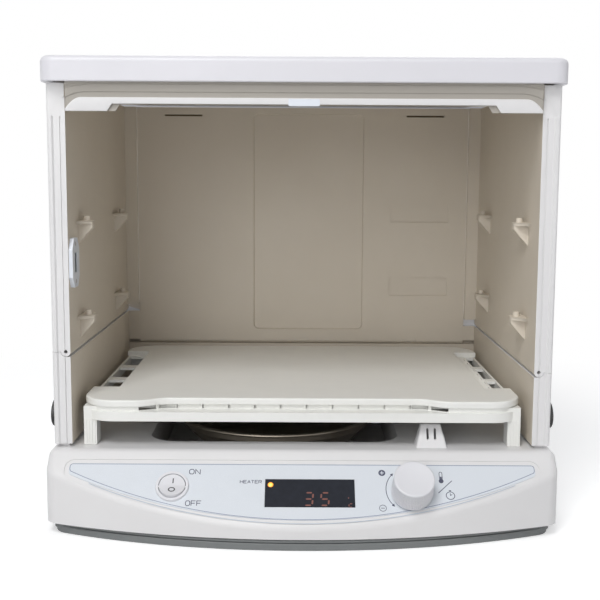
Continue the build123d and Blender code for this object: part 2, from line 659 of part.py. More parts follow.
def side_upstand(side):
    """The fixed lower part of a side wall, with the ears that hold its hinge pin."""
    axis_z = AXIS_Z[side]
    x = hinge_x(side)
    top = axis_z - HINGE_GAP
    with BuildPart() as upstand:
        with BuildSketch(front):
            with Locations((side * (WALL_INNER + WALL_OUTER) / 2, (WALL_FOOT_Z + top) / 2)):
                Rectangle(WALL_THICKNESS, top - WALL_FOOT_Z)
        extrude(amount=-WALL_DEPTH)
        outer_edges = edges().filter_by(Axis.Z).filter_by(lambda e: abs(e.center().X) > WALL_OUTER - 0.1)
        fillet(outer_edges, WALL_ROUNDING)
        # a narrower root stands on the deck and leaves a shadow line under the wall
        with BuildSketch(Plane.XY.offset(DECK_Z)):
            with Locations((side * (WALL_INNER + WALL_OUTER) / 2, FRONT_Y + WALL_DEPTH / 2)):
                Rectangle(WALL_THICKNESS - 2 * UPSTAND_ROOT, WALL_DEPTH - 2 * UPSTAND_ROOT_END)
        extrude(amount=WALL_FOOT_Z - DECK_Z)
        door_recess()
        seal_groove(side, WALL_FOOT_Z, top)
        # a post in the corner and a strip behind it, which keep the hinge's height closed
        post_top = axis_z - BARREL_RADIUS - HINGE_GAP
        post_inner = WALL_INNER - BRACKET_REACH
        post_outer = WALL_OUTER - CORNER_INSET
        strip_front = BACK_DISTANCE + BACK_THICKNESS + HINGE_GAP
        with BuildSketch(Plane.XY.offset(BACK_AXIS_Z)):
            with Locations((side * (post_inner + post_outer) / 2, FRONT_Y + (WALL_DEPTH + strip_front) / 2)):
                Rectangle(post_outer - post_inner, strip_front - WALL_DEPTH)
        extrude(amount=post_top - BACK_AXIS_Z)
        with BuildSketch(Plane.XY.offset(WALL_FOOT_Z)):
            with Locations((side * (post_inner + WALL_OUTER) / 2, FRONT_Y + (strip_front + BASE_BACK) / 2)):
                Rectangle(WALL_OUTER - post_inner, BASE_BACK - strip_front)
        extrude(amount=axis_z + 2 * BARREL_RADIUS - WALL_FOOT_Z)
        with BuildSketch(Plane.XY.offset(WALL_FOOT_Z)):
            root_inner = WALL_INNER + CORNER_INSET
            with Locations((side * (root_inner + post_outer) / 2, FRONT_Y + (WALL_DEPTH + strip_front) / 2)):
                Rectangle(post_outer - root_inner, strip_front - WALL_DEPTH)
        extrude(amount=post_top - WALL_FOOT_Z)
        with BuildSketch(front):
            with Locations((x, axis_z)):
                Circle(BARREL_RADIUS + HINGE_GAP)
            with Locations((side * (WALL_INNER + BARREL_RADIUS / 2 - 0.5), axis_z)):
                Rectangle(BARREL_RADIUS + 1, 2 * (BARREL_RADIUS + HINGE_GAP))
        extrude(amount=-WALL_DEPTH, mode=Mode.SUBTRACT)
        ears = ear_places(WALL_DEPTH)
        along_y(x, axis_z, ears, BARREL_RADIUS, EAR_LENGTH)
        web = BARREL_RADIUS + HINGE_GAP + 1
        with Locations(*[(x + side * BARREL_RADIUS / 2, FRONT_Y + y, axis_z - web / 2) for y in ears]):
            Box(BARREL_RADIUS, EAR_LENGTH, web)
        along_y(x, axis_z, [WALL_DEPTH / 2], PIN_RADIUS, 2 * WALL_DEPTH, Mode.SUBTRACT)
    return upstand


def side_pin(side):
    """The steel pin of a side wall's hinge, one end ear to the other."""
    ears = ear_places(WALL_DEPTH)
    length = ears[-1] - ears[0] + EAR_LENGTH
    with BuildPart() as pin:
        along_y(hinge_x(side), AXIS_Z[side], [WALL_DEPTH / 2], PIN_RADIUS, length)
    return pin


for side, word in ((LEFT, "left"), (RIGHT, "right")):
    save(side_wall(side), f"{word}_side_wall")
    save(side_upstand(side), f"{word}_wall_upstand")
    save(side_pin(side), f"{word}_hinge_pin")

BACK_AXIS_Y = BACK_INNER_Y + BARREL_RADIUS
BACK_EARS = [2 * BACK_HALF * (n + 0.5) / EAR_COUNT - BACK_HALF for n in range(EAR_COUNT)]

with BuildPart() as back_wall:
    with BuildSketch(Plane.YZ):
        with Locations((BACK_INNER_Y + BACK_THICKNESS / 2, (BACK_AXIS_Z + WALL_TOP) / 2)):
            Rectangle(BACK_THICKNESS, WALL_TOP - BACK_AXIS_Z)
        with Locations((BACK_AXIS_Y, BACK_AXIS_Z)):
            Circle(BARREL_RADIUS)
    extrude(amount=BACK_HALF, both=True)
    inside = Plane(origin=(0, BACK_INNER_Y, 0), x_dir=(1, 0, 0), z_dir=(0, -1, 0))
    # the tall channel down the middle
    with BuildSketch(inside):
        channel_low, channel_high = BACK_AXIS_Z + BACK_CHANNEL_INSETS[0], WALL_TOP - BACK_CHANNEL_INSETS[1]
        with Locations((BACK_CHANNEL_X, (channel_low + channel_high) / 2)):
            RectangleRounded(2 * BACK_CHANNEL_HALF, channel_high - channel_low, BACK_CHANNEL_CORNER)
    extrude(amount=-BACK_PAD_DEPTH, taper=30, mode=Mode.SUBTRACT)
    # shallow pockets level with the shelf brackets
    with BuildSketch(inside):
        with Locations(*[(POCKET_X, z - POCKET_DROP) for z in BRACKET_LEVELS]):
            RectangleRounded(*POCKET_SIZE, POCKET_DROP)
    extrude(amount=-BACK_PAD_DEPTH, mode=Mode.SUBTRACT)
    # narrow air slots under the top edge
    with BuildSketch(inside):
        with Locations(*[(x, DOOR_RECESS_TOP) for x in BACK_SLOT_XS]):
            Rectangle(*BACK_SLOT)
    extrude(amount=-BACK_THICKNESS, mode=Mode.SUBTRACT)
    socket = BARREL_RADIUS + HINGE_GAP
    along_x(BACK_AXIS_Y, BACK_AXIS_Z, BACK_EARS, socket, EAR_LENGTH + 2 * HINGE_GAP, Mode.SUBTRACT)
    along_x(BACK_AXIS_Y, BACK_AXIS_Z, [0], PIN_RADIUS + PIN_RUNNING, 2 * BASE_WIDTH, Mode.SUBTRACT)
save(back_wall, "back_wall")

with BuildPart() as back_upstand:
    top = BACK_AXIS_Z - HINGE_GAP
    with BuildSketch(Plane.YZ):
        with Locations((BACK_INNER_Y + BACK_THICKNESS / 2, (DECK_Z + top) / 2)):
            Rectangle(BACK_THICKNESS, top - DECK_Z)
        with Locations((BACK_AXIS_Y, BACK_AXIS_Z)):
            Circle(BARREL_RADIUS + HINGE_GAP, mode=Mode.SUBTRACT)
        with Locations((BACK_AXIS_Y - BARREL_RADIUS / 2 - 0.5, BACK_AXIS_Z)):
            Rectangle(BARREL_RADIUS + 1, 2 * (BARREL_RADIUS + HINGE_GAP), mode=Mode.SUBTRACT)
    extrude(amount=WALL_INNER, both=True)
    along_x(BACK_AXIS_Y, BACK_AXIS_Z, BACK_EARS, BARREL_RADIUS, EAR_LENGTH)
    web = BARREL_RADIUS + HINGE_GAP + 1
    with Locations(*[(x, BACK_AXIS_Y + BARREL_RADIUS / 2, BACK_AXIS_Z - web / 2) for x in BACK_EARS]):
        Box(EAR_LENGTH, BARREL_RADIUS, web)
    along_x(BACK_AXIS_Y, BACK_AXIS_Z, [0], PIN_RADIUS, 2 * BASE_WIDTH, Mode.SUBTRACT)
save(back_upstand, "back_wall_upstand")

with BuildPart() as back_hinge_pin:
    along_x(BACK_AXIS_Y, BACK_AXIS_Z, [0], PIN_RADIUS, BACK_EARS[-1] - BACK_EARS[0] + EAR_LENGTH)
save(back_hinge_pin, "back_hinge_pin")

# ---------------------------------------------------------------- lid, liner and front beam
LID_LENGTH = LID_FRONT + LID_BACK
LID_MIDDLE_Y = FRONT_Y + (LID_BACK - LID_FRONT) / 2
LINER_WIDTH, LINER_LENGTH = LID_WIDTH - 4 * LID_SHELL, LID_LENGTH - 4 * LID_SHELL

with BuildPart() as lid_cover:
    with BuildSketch(Plane.XY.offset(LID_BOTTOM)):
        with Locations((0, LID_MIDDLE_Y)):
            RectangleRounded(LID_WIDTH, LID_LENGTH, LID_CORNER_RADIUS)
    extrude(amount=LID_HEIGHT)
    fillet(faces().sort_by(Axis.Z)[-1].edges(), LID_EDGE_RADIUS)
    fillet(faces().sort_by(Axis.Z)[0].edges(), LID_LOWER_ROUNDING)
    with BuildSketch(Plane.XY.offset(LID_BOTTOM)):
        with Locations((0, LID_MIDDLE_Y)):
            RectangleRounded(LINER_WIDTH, LINER_LENGTH, LID_CORNER_RADIUS - LID_SHELL)
    extrude(amount=LID_HEIGHT - LID_SHELL, mode=Mode.SUBTRACT)
save(lid_cover, "lid_cover")

with BuildPart() as lid_liner:
    with BuildSketch(Plane.XY.offset(LID_BOTTOM)):
        with Locations((0, LID_MIDDLE_Y)):
            RectangleRounded(
                LINER_WIDTH - 2 * LINER_CLEARANCE, LINER_LENGTH - 2 * LINER_CLEARANCE,
                LID_CORNER_RADIUS - LID_SHELL - LINER_CLEARANCE,
            )
    extrude(amount=LINER_THICKNESS)
    # stiffening ribs inside the lid
    with BuildSketch(Plane.XY.offset(LID_BOTTOM + LINER_THICKNESS)):
        with Locations((0, LID_MIDDLE_Y)):
            with GridLocations(LID_RIB_PITCHES[0], 1, LID_RIB_COUNTS[0], 1):
                Rectangle(LID_RIB, LID_LENGTH - LID_RIB_MARGINS[1])
            with GridLocations(1, LID_RIB_PITCHES[1], 1, LID_RIB_COUNTS[1]):
                Rectangle(LID_WIDTH - LID_RIB_MARGINS[0], LID_RIB)
    extrude(amount=LID_HEIGHT - LID_SHELL - LINER_THICKNESS - LID_PAD_GAP)
    # pads over the inner edge of each side wall
    with BuildSketch(Plane.XY.offset(LID_BOTTOM)):
        with Locations((0, FRONT_Y + WALL_DEPTH / 2)):
            with GridLocations(2 * WALL_INNER + LID_PAD[0], LID_PAD_PITCH, 2, 2):
                RectangleRounded(*LID_PAD, LID_RIB)
    extrude(amount=-(LID_BOTTOM - WALL_TOP - LID_PAD_GAP))
save(lid_liner, "lid_liner")

with BuildPart() as front_beam:
    beam_front = front.offset(LID_FRONT - BEAM_SETBACK)
    with BuildSketch(beam_front):
        with BuildLine():
            tab = BEAM_TAB_INNER
            slant = BEAM_TAB_SLANT
            Polyline(
                (-BEAM_HALF, LID_BOTTOM), (-BEAM_HALF, BEAM_TAB_BOTTOM), (-tab, BEAM_TAB_BOTTOM),
                (-tab + slant, BEAM_BOTTOM), (tab - slant, BEAM_BOTTOM), (tab, BEAM_TAB_BOTTOM),
                (BEAM_HALF, BEAM_TAB_BOTTOM), (BEAM_HALF, LID_BOTTOM), close=True,
            )
        make_face()
    extrude(amount=-BEAM_DEPTH)
    # two sloped steps that carry the door recess over the mouth
    for step, (band_top, band_half) in enumerate(BEAM_BANDS):
        with BuildSketch(beam_front.offset(-step * BEAM_BAND_DEPTH)):
            with Locations((0, band_top / 2)):
                RectangleRounded(2 * band_half, band_top, BEAM_BAND_RADIUS)
        extrude(amount=-BEAM_BAND_DEPTH, taper=BEAM_BAND_TAPER, mode=Mode.SUBTRACT)
    # the notch for the latch pad
    with BuildSketch(beam_front):
        with Locations((0, BEAM_BOTTOM)):
            Rectangle(*LATCH_NOTCH)
    extrude(amount=-BEAM_DEPTH, mode=Mode.SUBTRACT)
save(front_beam, "front_beam")

with BuildPart() as latch_pad:
    with BuildSketch(beam_front.offset(-2 * BEAM_BAND_DEPTH + LATCH_PROUD)):
        with Locations((0, BEAM_BOTTOM + LATCH_RISE)):
            RectangleRounded(*LATCH_SIZE, LATCH_PROUD)
    extrude(amount=-(BEAM_DEPTH - 2 * BEAM_BAND_DEPTH))
save(latch_pad, "latch_pad")

# ---------------------------------------------------------------- slatted tray
TRAY_MIDDLE_Y = FRONT_Y + (TRAY_FRONT + TRAY_BACK) / 2
TRAY_LENGTH = TRAY_BACK - TRAY_FRONT
TRAY_EDGE_Z = TRAY_TOP - TRAY_EDGE
NOTCH_MIDDLE_Y = FRONT_Y + (NOTCH_FRONT + NOTCH_BACK) / 2
NOTCH_LENGTH = NOTCH_BACK - NOTCH_FRONT


def tray_rim(inset=0.0):
    """The tray's full outline from above."""
    with Locations((0, TRAY_MIDDLE_Y)):
        RectangleRounded(2 * (TRAY_HALF - inset), TRAY_LENGTH - 2 * inset, TRAY_CORNER - inset)


def tray_bowed(inset=0.0):
    """The upper plate's outline: the middle of its front stands back between two S curves."""
    half = TRAY_HALF - inset
    low = FRONT_Y + TRAY_FRONT + inset
    high = FRONT_Y + TRAY_BACK - inset
    back = low + TRAY_SETBACK
    left_out, left_in = VENT_MIDDLE - TRAY_SETBACK_OUTER - inset, VENT_MIDDLE - TRAY_SETBACK_INNER - inset
    right_in, right_out = VENT_MIDDLE + TRAY_SETBACK_INNER + inset, VENT_MIDDLE + TRAY_SETBACK_OUTER + inset
    level = (-1, 0)
    with BuildLine() as outline:
        Polyline((left_out, low), (-half, low), (-half, high), (half, high), (half, low), (right_out, low))
        Spline((right_out, low), (right_in, back), tangents=(level, level))
        Line((right_in, back), (left_in, back))
        Spline((left_in, back), (left_out, low), tangents=(level, level))
    make_face(outline.edges())
    corners = vertices().filter_by(lambda v: abs(v.X) > half - 0.1)
    fillet(corners, TRAY_CORNER - inset)


def side_notches(grow=0.0):
    """The two long notches in the sides of the upper plate, over the slotted ledges."""
    with Locations(*[(side * (NOTCH_INNER + TRAY_HALF) / 2, NOTCH_MIDDLE_Y) for side in (LEFT, RIGHT)]):
        Rectangle(TRAY_HALF - NOTCH_INNER + 2 * grow, NOTCH_LENGTH + 2 * grow, mode=Mode.SUBTRACT)


with BuildPart() as tray_inside:
    with BuildSketch(Plane.XY.offset(TRAY_RIM_BOTTOM)):
        tray_rim(TRAY_SKIN)
    extrude(amount=TRAY_STEP_Z - TRAY_SKIN - TRAY_RIM_BOTTOM)
    with BuildSketch(Plane.XY.offset(TRAY_RIM_BOTTOM)):
        tray_bowed(TRAY_NECK_INSET + TRAY_SKIN)
    extrude(amount=TRAY_EDGE_Z - TRAY_PLATE - TRAY_RIM_BOTTOM)
    with BuildSketch(Plane.XY.offset(TRAY_RIM_BOTTOM)):
        tray_bowed(TRAY_NECK_INSET + TRAY_SKIN)
        side_notches(TRAY_PLATE)
    extrude(amount=TRAY_TOP - TRAY_PLATE - TRAY_RIM_BOTTOM)

with BuildPart() as slatted_tray:
    with BuildSketch(Plane.XY.offset(TRAY_EDGE_Z)):
        tray_bowed(TRAY_LIP)
        side_notches()
    extrude(amount=TRAY_EDGE)
    fillet(faces().sort_by(Axis.Z)[-1].edges(), TRAY_ROUNDING)
    with BuildSketch(Plane.XY.offset(TRAY_RIM_BOTTOM)):
        tray_rim()
    extrude(amount=TRAY_STEP_Z - TRAY_RIM_BOTTOM)
    with BuildSketch(Plane.XY.offset(TRAY_STEP_Z)):
        tray_bowed(TRAY_NECK_INSET)
    extrude(amount=TRAY_EDGE_Z - TRAY_STEP_Z)
    add(tray_inside.part, mode=Mode.SUBTRACT)
    # the row of shallow front cells under the plate's edge, with a narrow slit between each two
    cell_middle = (VENT_MIDDLE, (TRAY_STEP_Z + TRAY_EDGE_Z) / 2)
    cell_height = TRAY_EDGE_Z - TRAY_STEP_Z - 2 * CELL_BORDER
    neck_face = front.offset(-TRAY_FRONT - TRAY_NECK_INSET - TRAY_SETBACK)
    with BuildSketch(neck_face):
        with Locations(cell_middle):
            with GridLocations(CELL_PITCH, 1, CELL_COUNT, 1):
                Rectangle(CELL_PITCH - SLIT_WIDTH - 2 * CELL_BORDER, cell_height)
    extrude(amount=-CELL_DEPTH, mode=Mode.SUBTRACT)
    with BuildSketch(neck_face):
        with Locations(cell_middle):
            with GridLocations(CELL_PITCH, 1, CELL_COUNT + 1, 1):
                Rectangle(SLIT_WIDTH, cell_height)
    extrude(amount=-2 * TRAY_SKIN, mode=Mode.SUBTRACT)
    # openings under the S curves, each pair with a pin between
    with BuildSketch(front.offset(-TRAY_FRONT)):
        with Locations(*[(VENT_MIDDLE + x, cell_middle[1]) for x in (-END_SLOT_AT, END_SLOT_AT)]):
            with GridLocations(END_SLOT_WIDTH + PIN_WIDTH, 1, 2, 1):
                Rectangle(END_SLOT_WIDTH, cell_height)
    extrude(amount=-TRAY_SETBACK - 3 * TRAY_SKIN, mode=Mode.SUBTRACT)
    # three slots in the ledge on the left, and three narrower ones on the right
    with BuildSketch(Plane.XY.offset(TRAY_EDGE_Z)):
        left_slots = (-NOTCH_INNER - LADDER_BORDER, -LADDER_OUTER)
        right_slots = (LOUVRE_OUTER + LADDER_BORDER, LADDER_OUTER)
        for inner, outer in (left_slots, right_slots):
            with Locations(((inner + outer) / 2, NOTCH_MIDDLE_Y)):
                with GridLocations(1, LADDER_PITCH, 1, LADDER_COUNT):
                    Rectangle(abs(outer - inner), LADDER_SLOT)
        # the long opening that the louvre blades stand in
        with Locations(((LOUVRE_INNER + LOUVRE_OUTER) / 2, NOTCH_MIDDLE_Y)):
            Rectangle(LOUVRE_OUTER - LOUVRE_INNER, NOTCH_LENGTH - 2 * LADDER_BORDER)
    extrude(amount=-TRAY_PLATE, mode=Mode.SUBTRACT)
    # sloped blades across the long opening
    with BuildSketch(Plane.YZ.offset(LOUVRE_INNER - LOUVRE_SEAT)) as blades:
        with Locations((NOTCH_MIDDLE_Y, TRAY_EDGE_Z - TRAY_PLATE)):
            with GridLocations(LOUVRE_PITCH, 1, LOUVRE_COUNT, 1):
                Rectangle(LOUVRE_LENGTH, LOUVRE_SKIN, rotation=LOUVRE_TILT)
    extrude(blades.sketch, amount=LOUVRE_OUTER - LOUVRE_INNER + 2 * LOUVRE_SEAT)
    # ribs under the plate
    with BuildSketch(Plane.XY.offset(TRAY_TOP - TRAY_PLATE)):
        with Locations((0, TRAY_MIDDLE_Y)):
            with GridLocations(TRAY_RIB_PITCH, 1, TRAY_RIB_COUNT, 1):
                Rectangle(TRAY_RIB, TRAY_LENGTH - TRAY_RIB_MARGIN)
    extrude(amount=-TRAY_RIB_DEPTH)
    # four ridged legs
    leg_x = 2 * (TRAY_HALF - LEG_WIDTH / 2 - LEG_INSET)
    leg_y = TRAY_LENGTH - LEG_DEPTH - LEG_MARGIN
    leg_low = DECK_Z + LEG_CLEARANCE
    with BuildSketch(Plane.XY.offset(leg_low)):
        with Locations((0, TRAY_MIDDLE_Y)):
            with GridLocations(leg_x, leg_y, 2, 2):
                Rectangle(LEG_WIDTH, LEG_DEPTH)
    extrude(amount=TRAY_EDGE_Z - TRAY_PLATE / 2 - leg_low)
    with BuildSketch(Plane.XY.offset(leg_low)):
        with Locations((0, TRAY_MIDDLE_Y - leg_y / 2 - LEG_DEPTH / 2)):
            with GridLocations(leg_x, 1, 2, 1):
                with GridLocations(2 * LEG_RIDGE, 1, LEG_RIDGES, 1):
                    Rectangle(LEG_RIDGE, LEG_RIDGE)
    extrude(amount=TRAY_RIM_BOTTOM - leg_low)
save(slatted_tray, "slatted_tray")

# ---------------------------------------------------------------- water pan and heater
PAN_AT = (WELL_CENTRE[0], FRONT_Y + WELL_CENTRE[1] - PAN_SHIFT)

pan_plane = Plane(origin=(PAN_AT[0], PAN_AT[1], 0), x_dir=(1, 0, 0), z_dir=(0, -1, 0))
with BuildPart() as water_pan:
    with BuildSketch(pan_plane):
        with BuildLine():
            flat = PAN_RADIUS - PAN_RIM_WIDTH
            bend = PAN_RIM_Z - PAN_WALL
            Polyline(
                (0, PAN_FLOOR_Z), (PAN_FLOOR_RADIUS, PAN_FLOOR_Z), (flat, bend), (flat, PAN_RIM_Z),
                (PAN_RADIUS, PAN_RIM_Z), (PAN_RADIUS, PAN_RIM_Z + PAN_SKIN),
                (flat - PAN_SKIN, PAN_RIM_Z + PAN_SKIN), (flat - PAN_SKIN, bend),
                (PAN_FLOOR_RADIUS - PAN_SKIN / 2, PAN_FLOOR_Z + PAN_SKIN), (0, PAN_FLOOR_Z + PAN_SKIN), close=True,
            )
        make_face()
    revolve(axis=Axis((PAN_AT[0], PAN_AT[1], 0), (0, 0, 1)))
save(water_pan, "water_pan")

with BuildPart() as heater_ring:
    ring_z = WELL_FLOOR + HEATER_RISE + HEATER_ROD
    with BuildSketch(Plane(origin=(PAN_AT[0], PAN_AT[1], ring_z), x_dir=(1, 0, 0), z_dir=(0, -1, 0))):
        with Locations((HEATER_RADIUS, 0)):
            Circle(HEATER_ROD)
    revolve(axis=Axis((PAN_AT[0], PAN_AT[1], 0), (0, 0, 1)))
save(heater_ring, "heater_ring")

with BuildPart() as heater_clips:
    # three open saddles that hold the ring off the floor
    clip_height = PAN_FLOOR_Z - WELL_FLOOR - CLIP_GAP
    with BuildSketch(Plane(origin=(PAN_AT[0], PAN_AT[1], WELL_FLOOR))):
        with PolarLocations(HEATER_RADIUS, CLIP_COUNT, start_angle=90):
            Rectangle(CLIP_SIZE[1], CLIP_SIZE[0])
    extrude(amount=clip_height)
    with BuildSketch(Plane(origin=(PAN_AT[0], PAN_AT[1], WELL_FLOOR + HEATER_RISE))):
        with PolarLocations(HEATER_RADIUS, CLIP_COUNT, start_angle=90):
            Rectangle(CLIP_SLOT, 2 * CLIP_SIZE[0])
    extrude(amount=clip_height, mode=Mode.SUBTRACT)
save(heater_clips, "heater_clips")

with BuildPart() as thermal_cutout:
    with Locations((PAN_AT[0], PAN_AT[1], WELL_FLOOR)):
        Cylinder(*CUTOUT_DISC, align=STANDING)
        Box(*CUTOUT_STRAP, align=STANDING)
save(thermal_cutout, "thermal_cutout")

# ---------------------------------------------------------------- sensor guard and sensor
with BuildPart() as guard_inside:
    with BuildSketch(Plane.XY.offset(DECK_Z)):
        with Locations((GUARD_X, GUARD_Y)):
            Rectangle(GUARD_BOTTOM[0] - 2 * GUARD_SKIN, GUARD_BOTTOM[1] - 2 * GUARD_SKIN)
    with BuildSketch(Plane.XY.offset(DECK_Z + GUARD_HEIGHT - GUARD_SKIN)):
        with Locations((GUARD_X, GUARD_Y + GUARD_LEAN)):
            Rectangle(GUARD_TOP[0] - 2 * GUARD_SKIN, GUARD_TOP[1] - 2 * GUARD_SKIN)
    loft()

with BuildPart() as sensor_guard:
    with BuildSketch(Plane.XY.offset(DECK_Z)):
        with Locations((GUARD_X, GUARD_Y)):
            RectangleRounded(*GUARD_BOTTOM, GUARD_CORNER)
    with BuildSketch(Plane.XY.offset(DECK_Z + GUARD_HEIGHT)):
        with Locations((GUARD_X, GUARD_Y + GUARD_LEAN)):
            RectangleRounded(*GUARD_TOP, GUARD_CORNER)
    loft()
    add(guard_inside.part, mode=Mode.SUBTRACT)
    with BuildSketch(front):
        with Locations((GUARD_X, DECK_Z + GUARD_SLOT_Z)):
            with GridLocations(GUARD_SLOT_PITCH, 1, 2, 1):
                SlotOverall(*GUARD_SLOT, rotation=90)
    extrude(amount=-GUARD_FRONT - GUARD_BOTTOM[1], mode=Mode.SUBTRACT)
save(sensor_guard, "sensor_guard")

with BuildPart() as temperature_sensor:
    with BuildSketch(Plane.XY.offset(DECK_Z - SENSOR_ROOT)):
        with Locations((GUARD_X, GUARD_Y + SENSOR_BACK)):
            Circle(SENSOR_RADIUS)
    extrude(amount=SENSOR_HEIGHT)
    with BuildSketch(Plane.XY.offset(DECK_Z - SHELL)):
        with Locations((GUARD_X, GUARD_Y + SENSOR_BACK)):
            Circle(SENSOR_RADIUS + SENSOR_COLLAR)
    extrude(amount=-SENSOR_COLLAR_HEIGHT)
    fillet(edges().sort_by(Axis.Z)[-1], SENSOR_RADIUS * 0.9)
save(temperature_sensor, "temperature_sensor")

# ---------------------------------------------------------------- caps on the upstands
for side, word in ((LEFT, "left"), (RIGHT, "right")):
    cap_at = (side * WALL_OUTER, FRONT_Y + OVAL_Y, OVAL_Z)
    cap_plane = Plane(origin=cap_at, x_dir=(0, side, 0), z_dir=(side, 0, 0))
    with BuildPart() as side_cap:
        with BuildSketch(cap_plane):
            Ellipse(OVAL_LENGTH / 2, OVAL_HEIGHT / 2)
        extrude(amount=OVAL_PROUD)
        rim = side_cap.faces().sort_by(Axis.X)[-1 if side == RIGHT else 0].edges()
        fillet(rim, OVAL_PROUD - OVAL_FLAT)
    save(side_cap, f"{word}_side_cap")

# ---------------------------------------------------------------- magnet catch on the left wall
catch_plane = Plane(
    origin=(-WALL_INNER, FRONT_Y + CATCH_Y, CATCH_Z), x_dir=(0, 1, 0), z_dir=(1, 0, 0)
)
CATCH_SCREWS = [(0, sign * (CATCH_HEIGHT / 2 - CATCH_SCREW_INSET)) for sign in (1, -1)]
with BuildPart() as catch_body:
    with BuildSketch(catch_plane):
        with BuildLine():
            half, ear = CATCH_HEIGHT / 2, CATCH_LENGTH / 4
            shoulder = half - CATCH_SHOULDER
            Polyline(
                (-CATCH_LENGTH / 2, shoulder), (-ear, half), (ear, half), (CATCH_LENGTH / 2, shoulder),
                (CATCH_LENGTH / 2, -shoulder), (ear, -half), (-ear, -half), (-CATCH_LENGTH / 2, -shoulder),
                close=True,
            )
        make_face()
        fillet(vertices(), CATCH_CORNER)
    extrude(amount=CATCH_PROUD)
    with BuildSketch(catch_plane.offset(CATCH_PROUD)):
        Rectangle(*MAGNET_SIZE)
    extrude(amount=-MAGNET_POCKET, mode=Mode.SUBTRACT)
    with BuildSketch(catch_plane.offset(CATCH_PROUD)):
        with Locations(*CATCH_SCREWS):
            Circle(CATCH_SCREW_RADIUS + MAGNET_CLEARANCE)
    extrude(amount=-CATCH_SCREW_SINK, mode=Mode.SUBTRACT)
save(catch_body, "catch_body")

with BuildPart() as catch_magnet:
    with BuildSketch(catch_plane.offset(CATCH_PROUD - MAGNET_POCKET)):
        Rectangle(*[size - 2 * MAGNET_CLEARANCE for size in MAGNET_SIZE])
    extrude(amount=MAGNET_THICKNESS)
save(catch_magnet, "catch_magnet")

with BuildPart() as catch_screws:
    with BuildSketch(catch_plane.offset(CATCH_PROUD - CATCH_SCREW_SINK)):
        with Locations(*CATCH_SCREWS):
            Circle(CATCH_SCREW_RADIUS)
    extrude(amount=CATCH_SCREW_HEIGHT, taper=15)
save(catch_screws, "catch_screws")

# ---------------------------------------------------------------- control panel
with BuildPart() as panel_overlay:
    with BuildSketch(on_panel((0, 0), -OVERLAY_THICKNESS)):
        overlay_outline()
        with Locations(WINDOW_AT):
            Rectangle(*[size + 2 * WINDOW_CLEARANCE for size in WINDOW_SIZE], mode=Mode.SUBTRACT)
        with Locations(SWITCH_AT):
            Circle(SWITCH_BEZEL - SWITCH_LAP, mode=Mode.SUBTRACT)
        with Locations(KNOB_AT):
            Circle(KNOB_HOLE, mode=Mode.SUBTRACT)
    extrude(amount=OVERLAY_THICKNESS)
save(panel_overlay, "panel_overlay")

with BuildPart() as display_window:
    with BuildSketch(on_panel(WINDOW_AT, -OVERLAY_THICKNESS)):
        Rectangle(*WINDOW_SIZE)
    extrude(amount=WINDOW_THICKNESS)
save(display_window, "display_window")

DIGITS_AT = (WINDOW_AT[0] + DIGITS_SHIFT, WINDOW_AT[1])
MODULE_TOP = -OVERLAY_THICKNESS - MODULE_GAP
with BuildPart() as display_digits:
    with BuildSketch(on_panel(DIGITS_AT, -DISPLAY_DEPTH)):
        Rectangle(*DIGITS_SIZE)
    extrude(amount=DISPLAY_DEPTH + MODULE_TOP)
save(display_digits, "display_digits")

with BuildPart() as heater_lamp:
    with BuildSketch(on_panel(LAMP_AT, -DISPLAY_DEPTH)):
        Circle(LAMP_RADIUS)
    extrude(amount=DISPLAY_DEPTH + MODULE_TOP)
    fillet(edges().filter_by(GeomType.CIRCLE).sort_by(Axis.Z)[-1], LAMP_ROUNDING)
save(heater_lamp, "heater_lamp")

with BuildPart() as display_board:
    with BuildSketch(on_panel(WINDOW_AT, -DISPLAY_DEPTH)):
        RectangleRounded(*BOARD_SIZE, BOARD_CORNER)
    extrude(amount=-BOARD_THICKNESS)
save(display_board, "display_board")

with BuildPart() as display_screws:
    with BuildSketch(on_panel(WINDOW_AT, -DISPLAY_DEPTH - BOARD_THICKNESS)):
        with GridLocations(BOARD_SIZE[0] - 2 * BOARD_HOLE_INSET, BOARD_SIZE[1] - 2 * BOARD_HOLE_INSET, 2, 2):
            Circle(BOARD_SCREW_RADIUS)
    extrude(amount=-BOARD_SCREW_HEIGHT)
save(display_screws, "display_screws")

# ---------------------------------------------------------------- rotary control
ROTOR_TOP = -SHELL - ROTOR_SINK
SHAFT_LOW = -SHELL - ENCODER_DEPTH + ENCODER_FLOOR
with BuildPart() as encoder_body:
    with BuildSketch(on_panel(KNOB_AT, -SHELL)):
        Rectangle(ENCODER_SIZE, ENCODER_SIZE)
    extrude(amount=-ENCODER_DEPTH)
    with BuildSketch(on_panel(KNOB_AT, -SHELL)):
        Circle(BUSHING_RADIUS)
    extrude(amount=SHELL + BUSHING_TOP)
    with BuildSketch(on_panel(KNOB_AT, ROTOR_TOP + ROTOR_CLEARANCE)):
        Circle(ROTOR_RADIUS + ROTOR_CLEARANCE)
    extrude(amount=-(ROTOR_HEIGHT + 2 * ROTOR_CLEARANCE), mode=Mode.SUBTRACT)
    with BuildSketch(on_panel(KNOB_AT, BUSHING_TOP)):
        Circle(SHAFT_RADIUS + SHAFT_RUNNING)
    extrude(amount=-(BUSHING_TOP - SHAFT_LOW + KNOB_PRESS + ROTOR_CLEARANCE), mode=Mode.SUBTRACT)
save(encoder_body, "encoder_body")

with BuildPart() as encoder_nut:
    with BuildSketch(on_panel(KNOB_AT, -OVERLAY_THICKNESS)):
        RegularPolygon(NUT_RADIUS, 6)
        Circle(BUSHING_RADIUS, mode=Mode.SUBTRACT)
    extrude(amount=NUT_HEIGHT)
save(encoder_nut, "encoder_nut")

